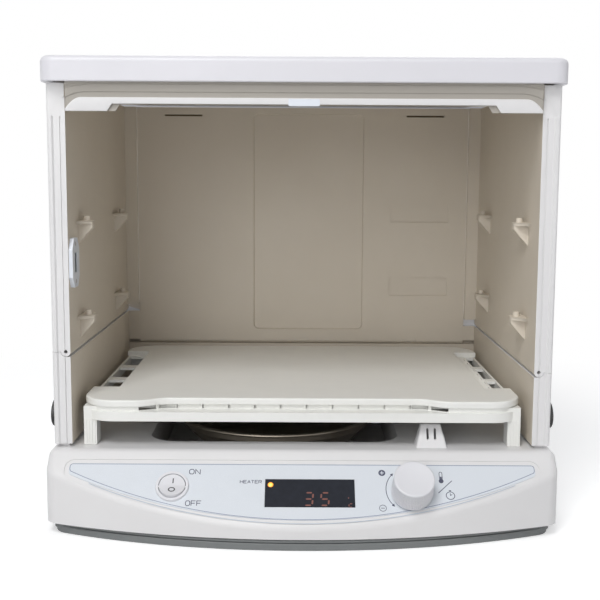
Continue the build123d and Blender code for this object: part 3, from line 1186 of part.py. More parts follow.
with BuildPart() as encoder_rotor:
    with BuildSketch(on_panel(KNOB_AT, ROTOR_TOP)):
        Circle(ROTOR_RADIUS)
        Circle(SHAFT_RADIUS + SHAFT_RUNNING, mode=Mode.SUBTRACT)
        with PolarLocations(ROTOR_RADIUS, ROTOR_TEETH):
            Rectangle(ROTOR_TOOTH, ROTOR_TOOTH, mode=Mode.SUBTRACT)
    extrude(amount=-ROTOR_HEIGHT)
save(encoder_rotor, "encoder_rotor")

KNOB_LOW = KNOB_LIFT
KNOB_TOP = KNOB_LOW + KNOB_HEIGHT
SHAFT_TOP = KNOB_TOP - KNOB_ROOF
with BuildPart() as encoder_shaft:
    with BuildSketch(on_panel(KNOB_AT, SHAFT_LOW)):
        Circle(SHAFT_RADIUS)
    extrude(amount=SHAFT_TOP - SHAFT_LOW)
save(encoder_shaft, "encoder_shaft")

KNOB_GRIP_LOW = KNOB_LOW + KNOB_SKIRT_HEIGHT
KNOB_FACE = KNOB_RADIUS - KNOB_EDGE
DISH_SPHERE = (KNOB_FACE**2 + KNOB_DISH**2) / (2 * KNOB_DISH)
with BuildPart() as control_knob:
    with BuildSketch(on_panel(KNOB_AT, KNOB_LOW)):
        Circle(KNOB_SKIRT_RADIUS)
    extrude(amount=KNOB_SKIRT_HEIGHT)
    with BuildSketch(on_panel(KNOB_AT, KNOB_LOW)):
        Circle(KNOB_RADIUS)
    extrude(amount=KNOB_HEIGHT)
    fillet(faces().sort_by(Axis(panel.origin, panel.z_dir))[-1].edges(), KNOB_EDGE)
    # fine ribs round the grip
    with BuildSketch(on_panel(KNOB_AT, KNOB_GRIP_LOW)):
        with PolarLocations(KNOB_RADIUS, KNOB_RIBS):
            Rectangle(2 * KNOB_RIB_PROUD, KNOB_RIB_WIDTH)
    extrude(amount=KNOB_HEIGHT - KNOB_SKIRT_HEIGHT - 2 * KNOB_EDGE)
    # hollow below, with a boss that grips the shaft, and a shallow dish on top
    with BuildSketch(on_panel(KNOB_AT, KNOB_LOW)):
        Circle(KNOB_CAVITY)
    extrude(amount=KNOB_HEIGHT - KNOB_ROOF, mode=Mode.SUBTRACT)
    with BuildSketch(on_panel(KNOB_AT, KNOB_LOW + KNOB_BOSS_RISE)):
        Circle(KNOB_BOSS)
    extrude(amount=KNOB_HEIGHT - KNOB_ROOF - KNOB_BOSS_RISE)
    with BuildSketch(on_panel(KNOB_AT, KNOB_LOW)):
        Circle(SHAFT_RADIUS)
    extrude(amount=KNOB_HEIGHT - KNOB_ROOF, mode=Mode.SUBTRACT)
    with Locations(Location(on_panel(KNOB_AT, KNOB_TOP - KNOB_DISH + DISH_SPHERE))):
        Sphere(DISH_SPHERE, mode=Mode.SUBTRACT)
save(control_knob, "control_knob")

# ---------------------------------------------------------------- power switch
SWITCH_INNER = ROCKER_RADIUS + ROCKER_CLEARANCE
with BuildPart() as switch_housing:
    with BuildSketch(on_panel(SWITCH_AT, -OVERLAY_THICKNESS)):
        Circle(SWITCH_BARREL)
    extrude(amount=-SWITCH_BARREL_DEPTH)
    with BuildSketch(on_panel(SWITCH_AT)):
        Circle(SWITCH_BEZEL)
    extrude(amount=SWITCH_BEZEL_HEIGHT, taper=SWITCH_TAPER)
    with BuildSketch(on_panel(SWITCH_AT, -OVERLAY_THICKNESS)):
        Circle(SWITCH_BARREL)
    extrude(amount=OVERLAY_THICKNESS)
    with BuildSketch(on_panel(SWITCH_AT, SWITCH_FLOOR - OVERLAY_THICKNESS - SWITCH_BARREL_DEPTH)):
        Circle(SWITCH_INNER)
    extrude(amount=2 * SWITCH_BARREL_DEPTH, mode=Mode.SUBTRACT)
    with Locations(Location(Plane(origin=on_panel(SWITCH_AT).origin, x_dir=panel.y_dir, z_dir=panel.x_dir))):
        Cylinder(ROCKER_PIN, 4 * SWITCH_BARREL, mode=Mode.SUBTRACT)
save(switch_housing, "switch_housing")

with BuildPart() as rocker_pin:
    with Locations(Location(Plane(origin=on_panel(SWITCH_AT).origin, x_dir=panel.y_dir, z_dir=panel.x_dir))):
        Cylinder(ROCKER_PIN, 2 * (SWITCH_BARREL - ROCKER_PIN_END))
save(rocker_pin, "rocker_pin")

rocker_plane = on_panel(SWITCH_AT).rotated((-ROCKER_THROW, 0, 0))
with BuildPart() as power_rocker:
    with Locations(Location(rocker_plane)):
        Sphere(ROCKER_RADIUS)
    # two faces meeting in a shallow valley, and a flat underside
    for lean in (-1, 1):
        with BuildSketch(rocker_plane.offset(ROCKER_CROWN).rotated((lean * ROCKER_THROW, 0, 0))):
            with Locations((0, lean * FAR / 4)):
                Rectangle(FAR, FAR / 2)
        extrude(amount=FAR / 4, mode=Mode.SUBTRACT)
    with BuildSketch(rocker_plane.offset(-ROCKER_DROP)):
        Circle(2 * ROCKER_RADIUS)
    extrude(amount=-2 * ROCKER_RADIUS, mode=Mode.SUBTRACT)
    with Locations(Location(Plane(origin=rocker_plane.origin, x_dir=panel.y_dir, z_dir=panel.x_dir))):
        Cylinder(ROCKER_PIN + PIN_RUNNING, 4 * ROCKER_RADIUS, mode=Mode.SUBTRACT)
save(power_rocker, "power_rocker")

with BuildPart() as switch_terminals:
    with BuildSketch(on_panel(SWITCH_AT, -OVERLAY_THICKNESS - SWITCH_BARREL_DEPTH)):
        with GridLocations(TERMINAL_PITCH, 1, 2, 1):
            Rectangle(*TERMINAL_SIZE)
    extrude(amount=-TERMINAL_LENGTH)
save(switch_terminals, "switch_terminals")

# ---------------------------------------------------------------- electronics and inlet
with BuildPart() as control_board:
    with BuildSketch(Plane.XY.offset(BOARD_Z)):
        with Locations(CONTROL_AT):
            RectangleRounded(*CONTROL_SIZE, CONTROL_CORNER)
    extrude(amount=BOARD_THICKNESS)
save(control_board, "control_board")

with BuildPart() as power_transformer:
    with Locations((CONTROL_AT[0], CONTROL_AT[1] + TRANSFORMER_SHIFT, BOARD_Z + BOARD_THICKNESS)):
        Box(*TRANSFORMER_SIZE, align=STANDING)
    fillet(edges().filter_by(Axis.Z), TRANSFORMER_CORNER)
save(power_transformer, "power_transformer")

with BuildPart() as heater_relay:
    relay_at = (CONTROL_AT[0] + RELAY_SHIFT[0], CONTROL_AT[1] + RELAY_SHIFT[1])
    with Locations((*relay_at, BOARD_Z + BOARD_THICKNESS)):
        Box(*RELAY_SIZE, align=STANDING)
save(heater_relay, "heater_relay")

with BuildPart() as power_inlet:
    with BuildSketch(inlet_plane):
        RectangleRounded(INLET_WIDTH, INLET_HEIGHT, INLET_CORNER - INLET_CLEARANCE)
    extrude(amount=-INLET_DEPTH)
    with BuildSketch(inlet_plane.offset(-SHELL)):
        RectangleRounded(INLET_WIDTH + 2 * INLET_WALL, INLET_HEIGHT + 2 * INLET_WALL, INLET_CORNER)
    extrude(amount=-INLET_FLANGE)
    with BuildSketch(inlet_plane):
        RectangleRounded(INLET_WIDTH - 2 * INLET_WALL, INLET_HEIGHT - 2 * INLET_WALL, INLET_CORNER / 2)
    extrude(amount=-(INLET_DEPTH - INLET_FLOOR), mode=Mode.SUBTRACT)
save(power_inlet, "power_inlet")

with BuildPart() as inlet_pins:
    with BuildSketch(inlet_plane.offset(INLET_FLOOR - INLET_DEPTH)):
        with GridLocations(INLET_PIN_PITCH, 1, 2, 1):
            Circle(INLET_PIN_RADIUS)
    extrude(amount=INLET_PIN_LENGTH)
save(inlet_pins, "inlet_pins")
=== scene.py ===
"""Looks for the folding dough proofer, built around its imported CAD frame.

Metres, in the frame's own axes: X to the right, Y to the back, Z up, with the table at z = 0.
"""

import logging
import math
from collections.abc import Callable, Sequence
from dataclasses import dataclass
from enum import Enum
from typing import ClassVar

import bmesh
import bpy
from mathutils import Matrix, Vector
from mathutils.bvhtree import BVHTree


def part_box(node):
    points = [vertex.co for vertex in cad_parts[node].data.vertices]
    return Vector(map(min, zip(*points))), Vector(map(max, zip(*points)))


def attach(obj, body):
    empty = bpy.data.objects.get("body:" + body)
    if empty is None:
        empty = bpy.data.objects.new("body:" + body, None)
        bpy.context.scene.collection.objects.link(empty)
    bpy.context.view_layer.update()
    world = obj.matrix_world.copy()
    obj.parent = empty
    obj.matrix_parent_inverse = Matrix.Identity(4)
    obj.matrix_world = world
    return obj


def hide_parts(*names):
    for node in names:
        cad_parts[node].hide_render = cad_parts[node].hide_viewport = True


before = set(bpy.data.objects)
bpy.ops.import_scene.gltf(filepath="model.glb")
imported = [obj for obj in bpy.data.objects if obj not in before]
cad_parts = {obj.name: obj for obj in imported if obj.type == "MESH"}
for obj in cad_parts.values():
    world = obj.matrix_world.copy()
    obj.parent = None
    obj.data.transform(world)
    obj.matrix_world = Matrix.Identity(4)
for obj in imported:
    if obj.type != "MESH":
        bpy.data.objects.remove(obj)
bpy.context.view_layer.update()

LOG = logging.getLogger("proofer")
MM = 0.001
NEAR = 0.05 * MM
TINY = 1e-6
SAME_POINT = 2e-6
FLAT_ANGLE = math.radians(0.6)
SMOOTH_ANGLE = math.radians(32)
EDGE_ANGLE = math.radians(38)
SOFT_ANGLE = math.radians(52)
LEAST_MITRE = 0.45

Colour = tuple[float, float, float]
Point2 = tuple[float, float]


def shown(red: int, green: int, blue: int) -> Colour:
    """A colour as it is seen on a screen, 0 to 255, turned into linear light.

    Args:
        red: Red, 0 to 255.
        green: Green, 0 to 255.
        blue: Blue, 0 to 255.

    Returns:
        The linear red, green and blue.
    """
    def channel(value: int) -> float:
        """One channel, by the sRGB curve."""
        part = value / 255
        return part / 12.92 if part <= 0.04045 else ((part + 0.055) / 1.055) ** 2.4

    return channel(red), channel(green), channel(blue)


FRONT_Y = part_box("left_side_wall")[0].y
"""The plane in which the side walls' front faces stand."""


# ---------------------------------------------------------------- node trees
FLOAT, COLOUR = "NodeSocketFloat", "NodeSocketColor"
PALE_GREY = (0.8, 0.8, 0.8, 1)


class Graph:
    """Adds and links the nodes of one tree."""

    def __init__(self, tree: bpy.types.NodeTree) -> None:
        """Keep the tree that the nodes go into."""
        self.tree = tree

    def add(self, kind: str, values: dict | None = None, **settings: object) -> bpy.types.Node:
        """Place a node.

        Args:
            kind: The node's type without its ShaderNode prefix.
            values: What its inputs get, by name or number.
            **settings: Properties of the node itself.

        Returns:
            The node.
        """
        node = self.tree.nodes.new(kind if kind.startswith("NodeGroup") else "ShaderNode" + kind)
        for name, value in settings.items():
            setattr(node, name, value)
        self.feed(node, values or {})
        return node

    def feed(self, node: bpy.types.Node, values: dict) -> None:
        """Link a node's inputs, or set them.

        Args:
            node: The node.
            values: By name or number, an output to link, or a number, a vector or a colour to set.
        """
        for key, value in values.items():
            socket = node.inputs[key]
            if isinstance(value, bpy.types.NodeSocket):
                self.tree.links.new(value, socket)
            elif socket.type == "RGBA" and len(value) == 3:
                socket.default_value = (*value, 1.0)
            else:
                socket.default_value = value

    def place(self) -> bpy.types.NodeSocket:
        """The place on the object, in metres."""
        return self.add("TexCoord").outputs["Object"]

    def distance(self, centre: Vector) -> bpy.types.NodeSocket:
        """How far the place on the object is from a point, in metres."""
        node = self.add("VectorMath", {0: self.place(), 1: centre}, operation="DISTANCE")
        return node.outputs["Value"]

    def noise(self, place: bpy.types.NodeSocket, scale: object, **values: float) -> bpy.types.NodeSocket:
        """A Noise Texture node.

        Args:
            place: Where on the object.
            scale: Its scale, as a number or a socket.
            **values: Its other inputs, by name.

        Returns:
            The noise, about 0 to 1.
        """
        return self.add("TexNoise", {"Vector": place, "Scale": scale, **values}).outputs["Fac"]

    def math(self, operation: str, first: object, second: object = 0.0) -> bpy.types.NodeSocket:
        """A Math node.

        Args:
            operation: Blender's name of the operation.
            first: A number or an output socket.
            second: A number or an output socket.

        Returns:
            The node's output socket.
        """
        return self.add("Math", {0: first, 1: second}, operation=operation).outputs[0]

    def remap(
        self, value: bpy.types.NodeSocket, source: Point2, target: tuple[object, object] = (0.0, 1.0)
    ) -> bpy.types.NodeSocket:
        """A Map Range node.

        Args:
            value: The socket to map.
            source: Lowest and highest value that comes in.
            target: What these become, as numbers or sockets.

        Returns:
            The mapped socket.
        """
        ends = {"From Min": source[0], "From Max": source[1], "To Min": target[0], "To Max": target[1]}
        return self.add("MapRange", {"Value": value, **ends}).outputs["Result"]

    def blend(self, mask: bpy.types.NodeSocket, first: object, second: object) -> bpy.types.NodeSocket:
        """A colour Mix node.

        Args:
            mask: 0 gives the first colour and 1 the second.
            first: A colour or a socket.
            second: A colour or a socket.

        Returns:
            The mixed colour.
        """
        return self.add("Mix", {"Factor": mask, 6: first, 7: second}, data_type="RGBA").outputs[2]

    def relief(self, height: bpy.types.NodeSocket, strength: float, depth: float) -> bpy.types.NodeSocket:
        """The normal that a fine relief gives.

        Args:
            height: The relief's height.
            strength: The Bump node's strength.
            depth: The Bump node's distance, in metres.

        Returns:
            The normal's socket.
        """
        return self.add("Bump", {"Strength": strength, "Distance": depth, "Height": height}).outputs[0]


def new_group(name: str, inputs: dict, outputs: dict[str, str]) -> tuple[Graph, object, bpy.types.Node]:
    """Start a shader node group with named sockets.

    Args:
        name: The group's name.
        inputs: Its inputs, name to starting value: a number, or a colour.
        outputs: Its outputs, name to socket type.

    Returns:
        The graph, the group's inputs by name, and the node that takes its outputs.
    """
    tree = bpy.data.node_groups.new(name, "ShaderNodeTree")
    for key, value in inputs.items():
        kind = COLOUR if isinstance(value, tuple) else FLOAT
        tree.interface.new_socket(key, in_out="INPUT", socket_type=kind).default_value = value
    for key, kind in outputs.items():
        tree.interface.new_socket(key, in_out="OUTPUT", socket_type=kind)
    graph = Graph(tree)
    return graph, graph.add("NodeGroupInput").outputs, graph.add("NodeGroupOutput")


class Effects:
    """The shader node groups that the finishes share, each built once."""

    def __init__(self) -> None:
        """Build every group."""
        self.grain = self._mould_grain()
        self.marks = self._handling_marks()
        self.lines = self._turned_lines()

    @staticmethod
    def _mould_grain() -> bpy.types.NodeTree:
        """The fine spark-eroded texture of moulded plastic, with slow shifts of shade."""
        graph, inputs, result = new_group(
            "mould grain",
            {
                "Base Colour": PALE_GREY, "Shade Colour": (0.7, 0.7, 0.7, 1), "Grain Scale": 2600.0,
                "Cloud Scale": 9.0, "Shade Amount": 0.25, "Rough Low": 0.38, "Rough High": 0.5,
            },
            {"Colour": COLOUR, "Roughness": FLOAT, "Height": FLOAT},
        )
        place = graph.place()
        fine = graph.noise(place, inputs["Grain Scale"], Detail=2.0, Roughness=0.6)
        cloud = graph.noise(place, inputs["Cloud Scale"], Detail=4.0, Roughness=0.55)
        shade = graph.remap(cloud, (0.35, 0.7), (0.0, inputs["Shade Amount"]))
        mixed = graph.math("ADD", graph.math("MULTIPLY", fine, 0.4), graph.math("MULTIPLY", cloud, 0.6))
        graph.feed(result, {
            "Colour": graph.blend(shade, inputs["Base Colour"], inputs["Shade Colour"]),
            "Roughness": graph.remap(mixed, (0.35, 0.65), (inputs["Rough Low"], inputs["Rough High"])),
            "Height": fine,
        })
        return graph.tree

    @staticmethod
    def _handling_marks() -> bpy.types.NodeTree:
        """Faint dust and wiping marks, strongest on faces that look up."""
        graph, inputs, result = new_group(
            "handling marks",
            {"Colour": PALE_GREY, "Dust Colour": (0.6, 0.58, 0.54, 1), "Amount": 0.08, "Scale": 38.0},
            {"Colour": COLOUR, "Mask": FLOAT},
        )
        wiped = graph.add("Mapping", {"Vector": graph.place(), "Scale": (1.0, 2.2, 0.7)}).outputs[0]
        smear = graph.noise(wiped, inputs["Scale"], Detail=5.0, Roughness=0.7, Distortion=0.6)
        normal = graph.add("SeparateXYZ", {0: graph.add("NewGeometry").outputs["Normal"]})
        up = graph.remap(normal.outputs["Z"], (-0.2, 1.0), (0.35, 1.0))
        mask = graph.math("MULTIPLY", graph.remap(smear, (0.48, 0.75)), up)
        part = graph.math("MULTIPLY", mask, inputs["Amount"])
        graph.feed(result, {"Colour": graph.blend(part, inputs["Colour"], inputs["Dust Colour"]), "Mask": mask})
        return graph.tree

    @staticmethod
    def _turned_lines() -> bpy.types.NodeTree:
        """Fine rings round a vertical axis, as spinning or turning leaves in metal."""
        graph, inputs, result = new_group(
            "turned lines",
            {
                "Centre X": 0.0, "Centre Y": 0.0, "Lines per Metre": 1800.0, "Rough Low": 0.25,
                "Rough High": 0.42,
            },
            {"Roughness": FLOAT, "Height": FLOAT},
        )
        place = graph.add("SeparateXYZ", {0: graph.place()}).outputs
        squares = [
            graph.math("POWER", graph.math("SUBTRACT", place[axis], inputs["Centre " + axis]), 2.0)
            for axis in "XY"
        ]
        radius = graph.math("SQRT", graph.math("ADD", *squares))
        along = graph.math("MULTIPLY", radius, inputs["Lines per Metre"])
        node = graph.add("TexNoise", {"Scale": 1.0, "Detail": 3.0}, noise_dimensions="1D")
        graph.feed(node, {"W": along})
        line, rough = node.outputs["Fac"], (inputs["Rough Low"], inputs["Rough High"])
        graph.feed(result, {"Roughness": graph.remap(line, (0.3, 0.7), rough), "Height": line})
        return graph.tree


# ---------------------------------------------------------------- finishes
EFFECTS = Effects()


def new_material(name: str) -> tuple[bpy.types.Material, Graph, bpy.types.Node]:
    """Start a material with one Principled shader.

    Args:
        name: The material's name.

    Returns:
        The material, its graph and the shader.
    """
    material = bpy.data.materials.new(name)
    graph = emptied(material)
    shader = graph.add("BsdfPrincipled")
    graph.add("OutputMaterial", {"Surface": shader.outputs[0]})
    return material, graph, shader


def emptied(owner: bpy.types.Material | bpy.types.World) -> Graph:
    """Switch on the nodes of a material or a world, and take out the ones it starts with.

    Args:
        owner: The material or world.

    Returns:
        Its empty graph.
    """
    owner.use_nodes = True
    owner.node_tree.nodes.clear()
    return Graph(owner.node_tree)


@dataclass(frozen=True)
class MouldedPlastic:
    """Injection-moulded plastic: a fine grain, slow shade and a little dust."""

    name: str
    colour: Colour
    shade: Colour
    shade_amount: float = 0.3
    rough: Point2 = (0.36, 0.48)
    grain_scale: float = 2600.0
    grain_depth: float = 0.00002
    grain_strength: float = 0.25
    dust: float = 0.06
    specular: float = 0.5

    def make(self) -> bpy.types.Material:
        """The material for this finish."""
        material, graph, shader = new_material(self.name)
        grain = graph.add("Group", node_tree=EFFECTS.grain)
        graph.feed(grain, {
            "Base Colour": self.colour, "Shade Colour": self.shade, "Grain Scale": self.grain_scale,
            "Shade Amount": self.shade_amount, "Rough Low": self.rough[0], "Rough High": self.rough[1],
        })
        marks = graph.add("Group", node_tree=EFFECTS.marks)
        graph.feed(marks, {"Amount": self.dust, "Colour": grain.outputs["Colour"]})
        graph.feed(shader, {
            "Base Color": marks.outputs["Colour"],
            "Roughness": grain.outputs["Roughness"],
            "Normal": graph.relief(grain.outputs["Height"], self.grain_strength, self.grain_depth),
            "Specular IOR Level": self.specular,
        })
        return material


@dataclass(frozen=True)
class WornMetal:
    """Plain metal with fine scratches, and turned rings where it has a centre."""

    name: str
    colour: Colour
    rough: Point2 = (0.25, 0.42)
    centre: Point2 | None = None
    stain: Colour = (0.3, 0.28, 0.25)
    stain_amount: float = 0.15
    stain_scale: float = 24.0
    scratch_scale: float = 1400.0
    scratch_depth: float = 0.00003
    scratch_strength: float = 0.2

    def make(self) -> bpy.types.Material:
        """The material for this finish."""
        material, graph, shader = new_material(self.name)
        marks = graph.add("Group", node_tree=EFFECTS.marks)
        graph.feed(marks, {
            "Colour": self.colour, "Dust Colour": self.stain, "Amount": self.stain_amount,
            "Scale": self.stain_scale,
        })
        if self.centre is None:
            source = graph.add("Group", node_tree=EFFECTS.grain)
            graph.feed(source, {"Grain Scale": self.scratch_scale})
        else:
            source = graph.add("Group", node_tree=EFFECTS.lines)
            graph.feed(source, {"Centre X": self.centre[0], "Centre Y": self.centre[1]})
        graph.feed(source, {"Rough Low": self.rough[0], "Rough High": self.rough[1]})
        graph.feed(shader, {
            "Metallic": 1.0,
            "Base Color": marks.outputs["Colour"],
            "Roughness": source.outputs["Roughness"],
            "Normal": graph.relief(source.outputs["Height"], self.scratch_strength, self.scratch_depth),
        })
        return material


@dataclass(frozen=True)
class SmokedWindow:
    """The glossy dark window over the display, with a faint cloud of the parts behind it."""

    name: str
    colour: Colour
    behind: Colour

    def make(self) -> bpy.types.Material:
        """The material for this finish."""
        material, graph, shader = new_material(self.name)
        cloud = graph.noise(graph.place(), 160.0, Detail=3.0)
        graph.feed(shader, {
            "Base Color": graph.blend(graph.remap(cloud, (0.35, 0.7)), self.colour, self.behind),
            "Roughness": graph.remap(cloud, (0.3, 0.7), (0.12, 0.2)),
            "Specular IOR Level": 0.2,
        })
        return material


@dataclass(frozen=True)
class LitLens:
    """A lit lamp: brightest in its middle."""

    name: str
    colour: Colour
    core: Colour
    centre: Vector
    reach: float
    glow: float

    def make(self) -> bpy.types.Material:
        """The material for this finish."""
        material, graph, shader = new_material(self.name)
        away = graph.distance(self.centre)
        colour = graph.blend(graph.remap(away, (0.0, self.reach), (1.0, 0.0)), self.colour, self.core)
        graph.feed(shader, {
            "Base Color": colour, "Emission Color": colour, "Emission Strength": self.glow, "Roughness": 0.3,
        })
        return material


WHITE = shown(226, 225, 225)


class Finish(Enum):
    """Every finish that needs nothing but its name."""

    SHELL = MouldedPlastic("shell white", WHITE, shown(214, 213, 214))
    LID = MouldedPlastic("lid white", shown(220, 219, 224), shown(211, 210, 214), rough=(0.34, 0.44))
    # Painted shade: the chamber's inner faces are the shell's white plastic, coloured darker and warmer for the
    # shade inside the chamber.
    LINING = MouldedPlastic("chamber inside, painted shade", shown(214, 205, 191), shown(202, 192, 176), rough=(0.42, 0.55))
    # Painted shade: the beam's steps under the lid's overhang are coloured grey; the plastic is white.
    BEAM = MouldedPlastic(
        "beam steps, painted shade", shown(170, 165, 157), shown(158, 153, 145), rough=(0.45, 0.6), specular=0.3
    )
    # Painted shade: dark brown backs set in the back wall's air slots, where there is only shade.
    GAUZE = MouldedPlastic(
        "slot backs, painted shade", shown(150, 134, 112), shown(128, 114, 94), rough=(0.7, 0.9), grain_scale=1500.0,
        specular=0.1,
    )
    TRAY = MouldedPlastic("tray white", shown(237, 237, 233), shown(226, 226, 221), rough=(0.38, 0.52))
    SKIRT = MouldedPlastic(
        "skirt grey", shown(124, 127, 127), shown(113, 116, 116), rough=(0.5, 0.65), specular=0.3
    )
    PALE = MouldedPlastic(
        "pale control plastic", shown(222, 222, 226), shown(213, 213, 217), rough=(0.3, 0.4), dust=0.04
    )
    CATCH = MouldedPlastic("catch plastic", shown(225, 230, 238), shown(212, 217, 226), rough=(0.3, 0.4))
    BLACK = MouldedPlastic(
        "black plastic", shown(26, 26, 28), shown(34, 34, 36), rough=(0.4, 0.55), dust=0.15
    )
    RUBBER = MouldedPlastic(
        "foot rubber", shown(38, 38, 38), shown(52, 51, 50), rough=(0.7, 0.85), grain_scale=900.0,
        grain_strength=0.5, dust=0.3,
    )
    FILM = MouldedPlastic(
        "panel film", shown(218, 223, 229), shown(213, 218, 225), rough=(0.24, 0.32), grain_scale=3400.0,
        grain_strength=0.12, dust=0.03,
    )
    INK = MouldedPlastic("dark ink", shown(70, 74, 96), shown(60, 64, 86), rough=(0.4, 0.5), dust=0.05)
    LINE_INK = MouldedPlastic(
        "line ink", shown(128, 138, 162), shown(118, 128, 152), rough=(0.35, 0.45), dust=0.0
    )
    MARK_INK = MouldedPlastic(
        "switch mark ink", shown(44, 44, 50), shown(58, 58, 64), rough=(0.4, 0.5), dust=0.0
    )
    # Painted shadow: a faint line below the film's outline, for the shadow of the panel's moulded step.
    FAINT_INK = MouldedPlastic(
        "step shadow line, painted", shown(186, 198, 212), shown(178, 190, 206), rough=(0.35, 0.45), dust=0.0
    )
    WINDOW = SmokedWindow("smoked window", shown(36, 39, 48), shown(30, 33, 41))
    BOARD = MouldedPlastic("board laminate", shown(34, 92, 52), shown(28, 76, 44), rough=(0.35, 0.5))
    DIGIT = MouldedPlastic(
        "digit red, dim", shown(126, 72, 60), shown(112, 62, 54), rough=(0.3, 0.4), dust=0.0
    )
    STEEL = WornMetal("plain steel", shown(196, 196, 196))
    BRASS = WornMetal("contact brass", shown(206, 182, 120))
    MAGNET = MouldedPlastic(
        "magnet black", shown(44, 46, 50), shown(60, 62, 66), rough=(0.5, 0.65), grain_scale=1200.0
    )


def material_of(look: Finish | WornMetal | LitLens) -> bpy.types.Material:
    """A finish's material, made when it is first used."""
    finish = look.value if isinstance(look, Finish) else look
    return bpy.data.materials.get(finish.name) or finish.make()


# ---------------------------------------------------------------- meshes
def dress(finish: Finish, *nodes: str) -> None:
    """Give CAD nodes a finish, which covers them whole.

    Args:
        finish: The finish.
        *nodes: The nodes' names.
    """
    for node in nodes:
        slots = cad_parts[node].data.materials
        slots.clear()
        slots.append(material_of(finish))


def new_piece(
    name: str, shape: bmesh.types.BMesh, body: str, slot: str, *looks: Finish | WornMetal | LitLens,
    smooth: bool = True,
) -> bpy.types.Object:
    """Turn a finished bmesh into a piece of the object.

    Args:
        name: The piece's name.
        shape: Its form, in the frame's place, freed here.
        body: The CAD body that it rides on.
        slot: The record's material slot that its finish belongs to; it is not used here.
        *looks: Its finishes in order.
        smooth: Whether faces that meet at a small angle shade as one.

    Returns:
        The piece.
    """
    bmesh.ops.recalc_face_normals(shape, faces=shape.faces)
    mesh = bpy.data.meshes.new(name)
    shape.to_mesh(mesh)
    shape.free()
    for polygon in mesh.polygons:
        polygon.use_smooth = smooth
    if smooth:
        mesh.set_sharp_from_angle(angle=SMOOTH_ANGLE)
    for look in looks:
        mesh.materials.append(material_of(look))
    item = bpy.data.objects.new(name, mesh)
    bpy.context.scene.collection.objects.link(item)
    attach(item, body)
    LOG.info("piece %s: %d faces on %s", name, len(mesh.polygons), body)
    return item


def surface_tree(node: str) -> BVHTree:
    """A tree of a CAD node's faces, for finding where a ray meets them."""
    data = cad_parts[node].data
    return BVHTree.FromPolygons([v.co for v in data.vertices], [p.vertices for p in data.polygons])


def flat_faces_stay_flat(mesh: bpy.types.Mesh) -> None:
    """Shade each corner by the faces round it, each by its area, so a radius doesn't tint a flat face.

    Args:
        mesh: The mesh, whose corner normals are set.
    """
    around: list[list[int]] = [[] for _ in mesh.vertices]
    for polygon in mesh.polygons:
        for vertex in polygon.vertices:
            around[vertex].append(polygon.index)
    normals = [polygon.normal.copy() for polygon in mesh.polygons]
    areas = [polygon.area for polygon in mesh.polygons]
    least = math.cos(SOFT_ANGLE)
    corners = []
    for polygon in mesh.polygons:
        own = normals[polygon.index]
        for vertex in polygon.vertices:
            total = own * 1e-12
            for other in around[vertex]:
                if normals[other].dot(own) > least:
                    total = total + normals[other] * areas[other]
            corners.append(total.normalized())
    mesh.normals_split_custom_set(corners)


@dataclass
class SoftCopy:
    """A CAD node's form with the small radius that a mould leaves on its edges."""

    node: str
    body: str
    slot: str
    radius: float = 0.7 * MM
    least_edge: float = 6 * MM
    segments: int = 2

    def build(
        self, *looks: Finish, paint: Callable | None = None, move: Callable | None = None,
        sharp: Callable | None = None,
    ) -> bpy.types.Object:
        """Make the copy, which then stands for the node.

        Args:
            *looks: Its finishes in order.
            paint: Gives each face's material number from its middle and normal.
            move: Gives each point's new place, for a gap or an edge that differs from the CAD's.
            sharp: Says of a point on an edge whether the edge stays sharp.

        Returns:
            The new piece.
        """
        shape = bmesh.new()
        shape.from_mesh(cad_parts[self.node].data)
        bmesh.ops.remove_doubles(shape, verts=shape.verts, dist=SAME_POINT)
        bmesh.ops.dissolve_limit(
            shape, angle_limit=FLAT_ANGLE, use_dissolve_boundaries=False, verts=shape.verts, edges=shape.edges
        )
        chosen = [
            edge for edge in shape.edges
            if len(edge.link_faces) == 2 and edge.calc_face_angle(0.0) > EDGE_ANGLE
            and edge.calc_length() > self.least_edge
            and not (sharp is not None and all(sharp(vert.co) for vert in edge.verts))
        ]
        bmesh.ops.bevel(
            shape, geom=chosen, offset=self.radius, offset_type="OFFSET", segments=self.segments, profile=0.5,
            affect="EDGES", clamp_overlap=True,
        )
        if paint is not None:
            for face in shape.faces:
                face.material_index = paint(face.calc_center_median(), face.normal)
        if move is not None:
            for vert in shape.verts:
                vert.co = move(vert.co)
        piece = new_piece(f"{self.node}.soft", shape, self.body, self.slot, *looks)
        flat_faces_stay_flat(piece.data)
        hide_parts(self.node)
        return piece


def plate(shape: bmesh.types.BMesh, front: Sequence[Vector], back: Sequence[Vector]) -> None:
    """Add a flat plate.

    Args:
        shape: The bmesh that it goes into.
        front: The corners of its front face.
        back: The corners of its back face, as many and in the same order.
    """
    near, far = ([shape.verts.new(spot) for spot in outline] for outline in (front, back))
    shape.faces.new(near)
    shape.faces.new(far[::-1])
    for first in range(len(near)):
        second = (first + 1) % len(near)
        shape.faces.new((near[second], near[first], far[first], far[second]))


def prism(shape: bmesh.types.BMesh, outline: Sequence[Point2], near: float, far: float) -> None:
    """Add a plate that stands across the Y axis.

    Args:
        shape: The bmesh that it goes into.
        outline: Its corners, as x and z.
        near: Its front face's y.
        far: Its back face's y.
    """
    plate(shape, *([Vector((x, y, z)) for x, z in outline] for y in (near, far)))


class Ends(Enum):
    """How a row of rings ends."""

    OPEN = "no face at either end"
    FLAT = "a flat face on each end ring"
    LOOP = "the last ring joined to the first"


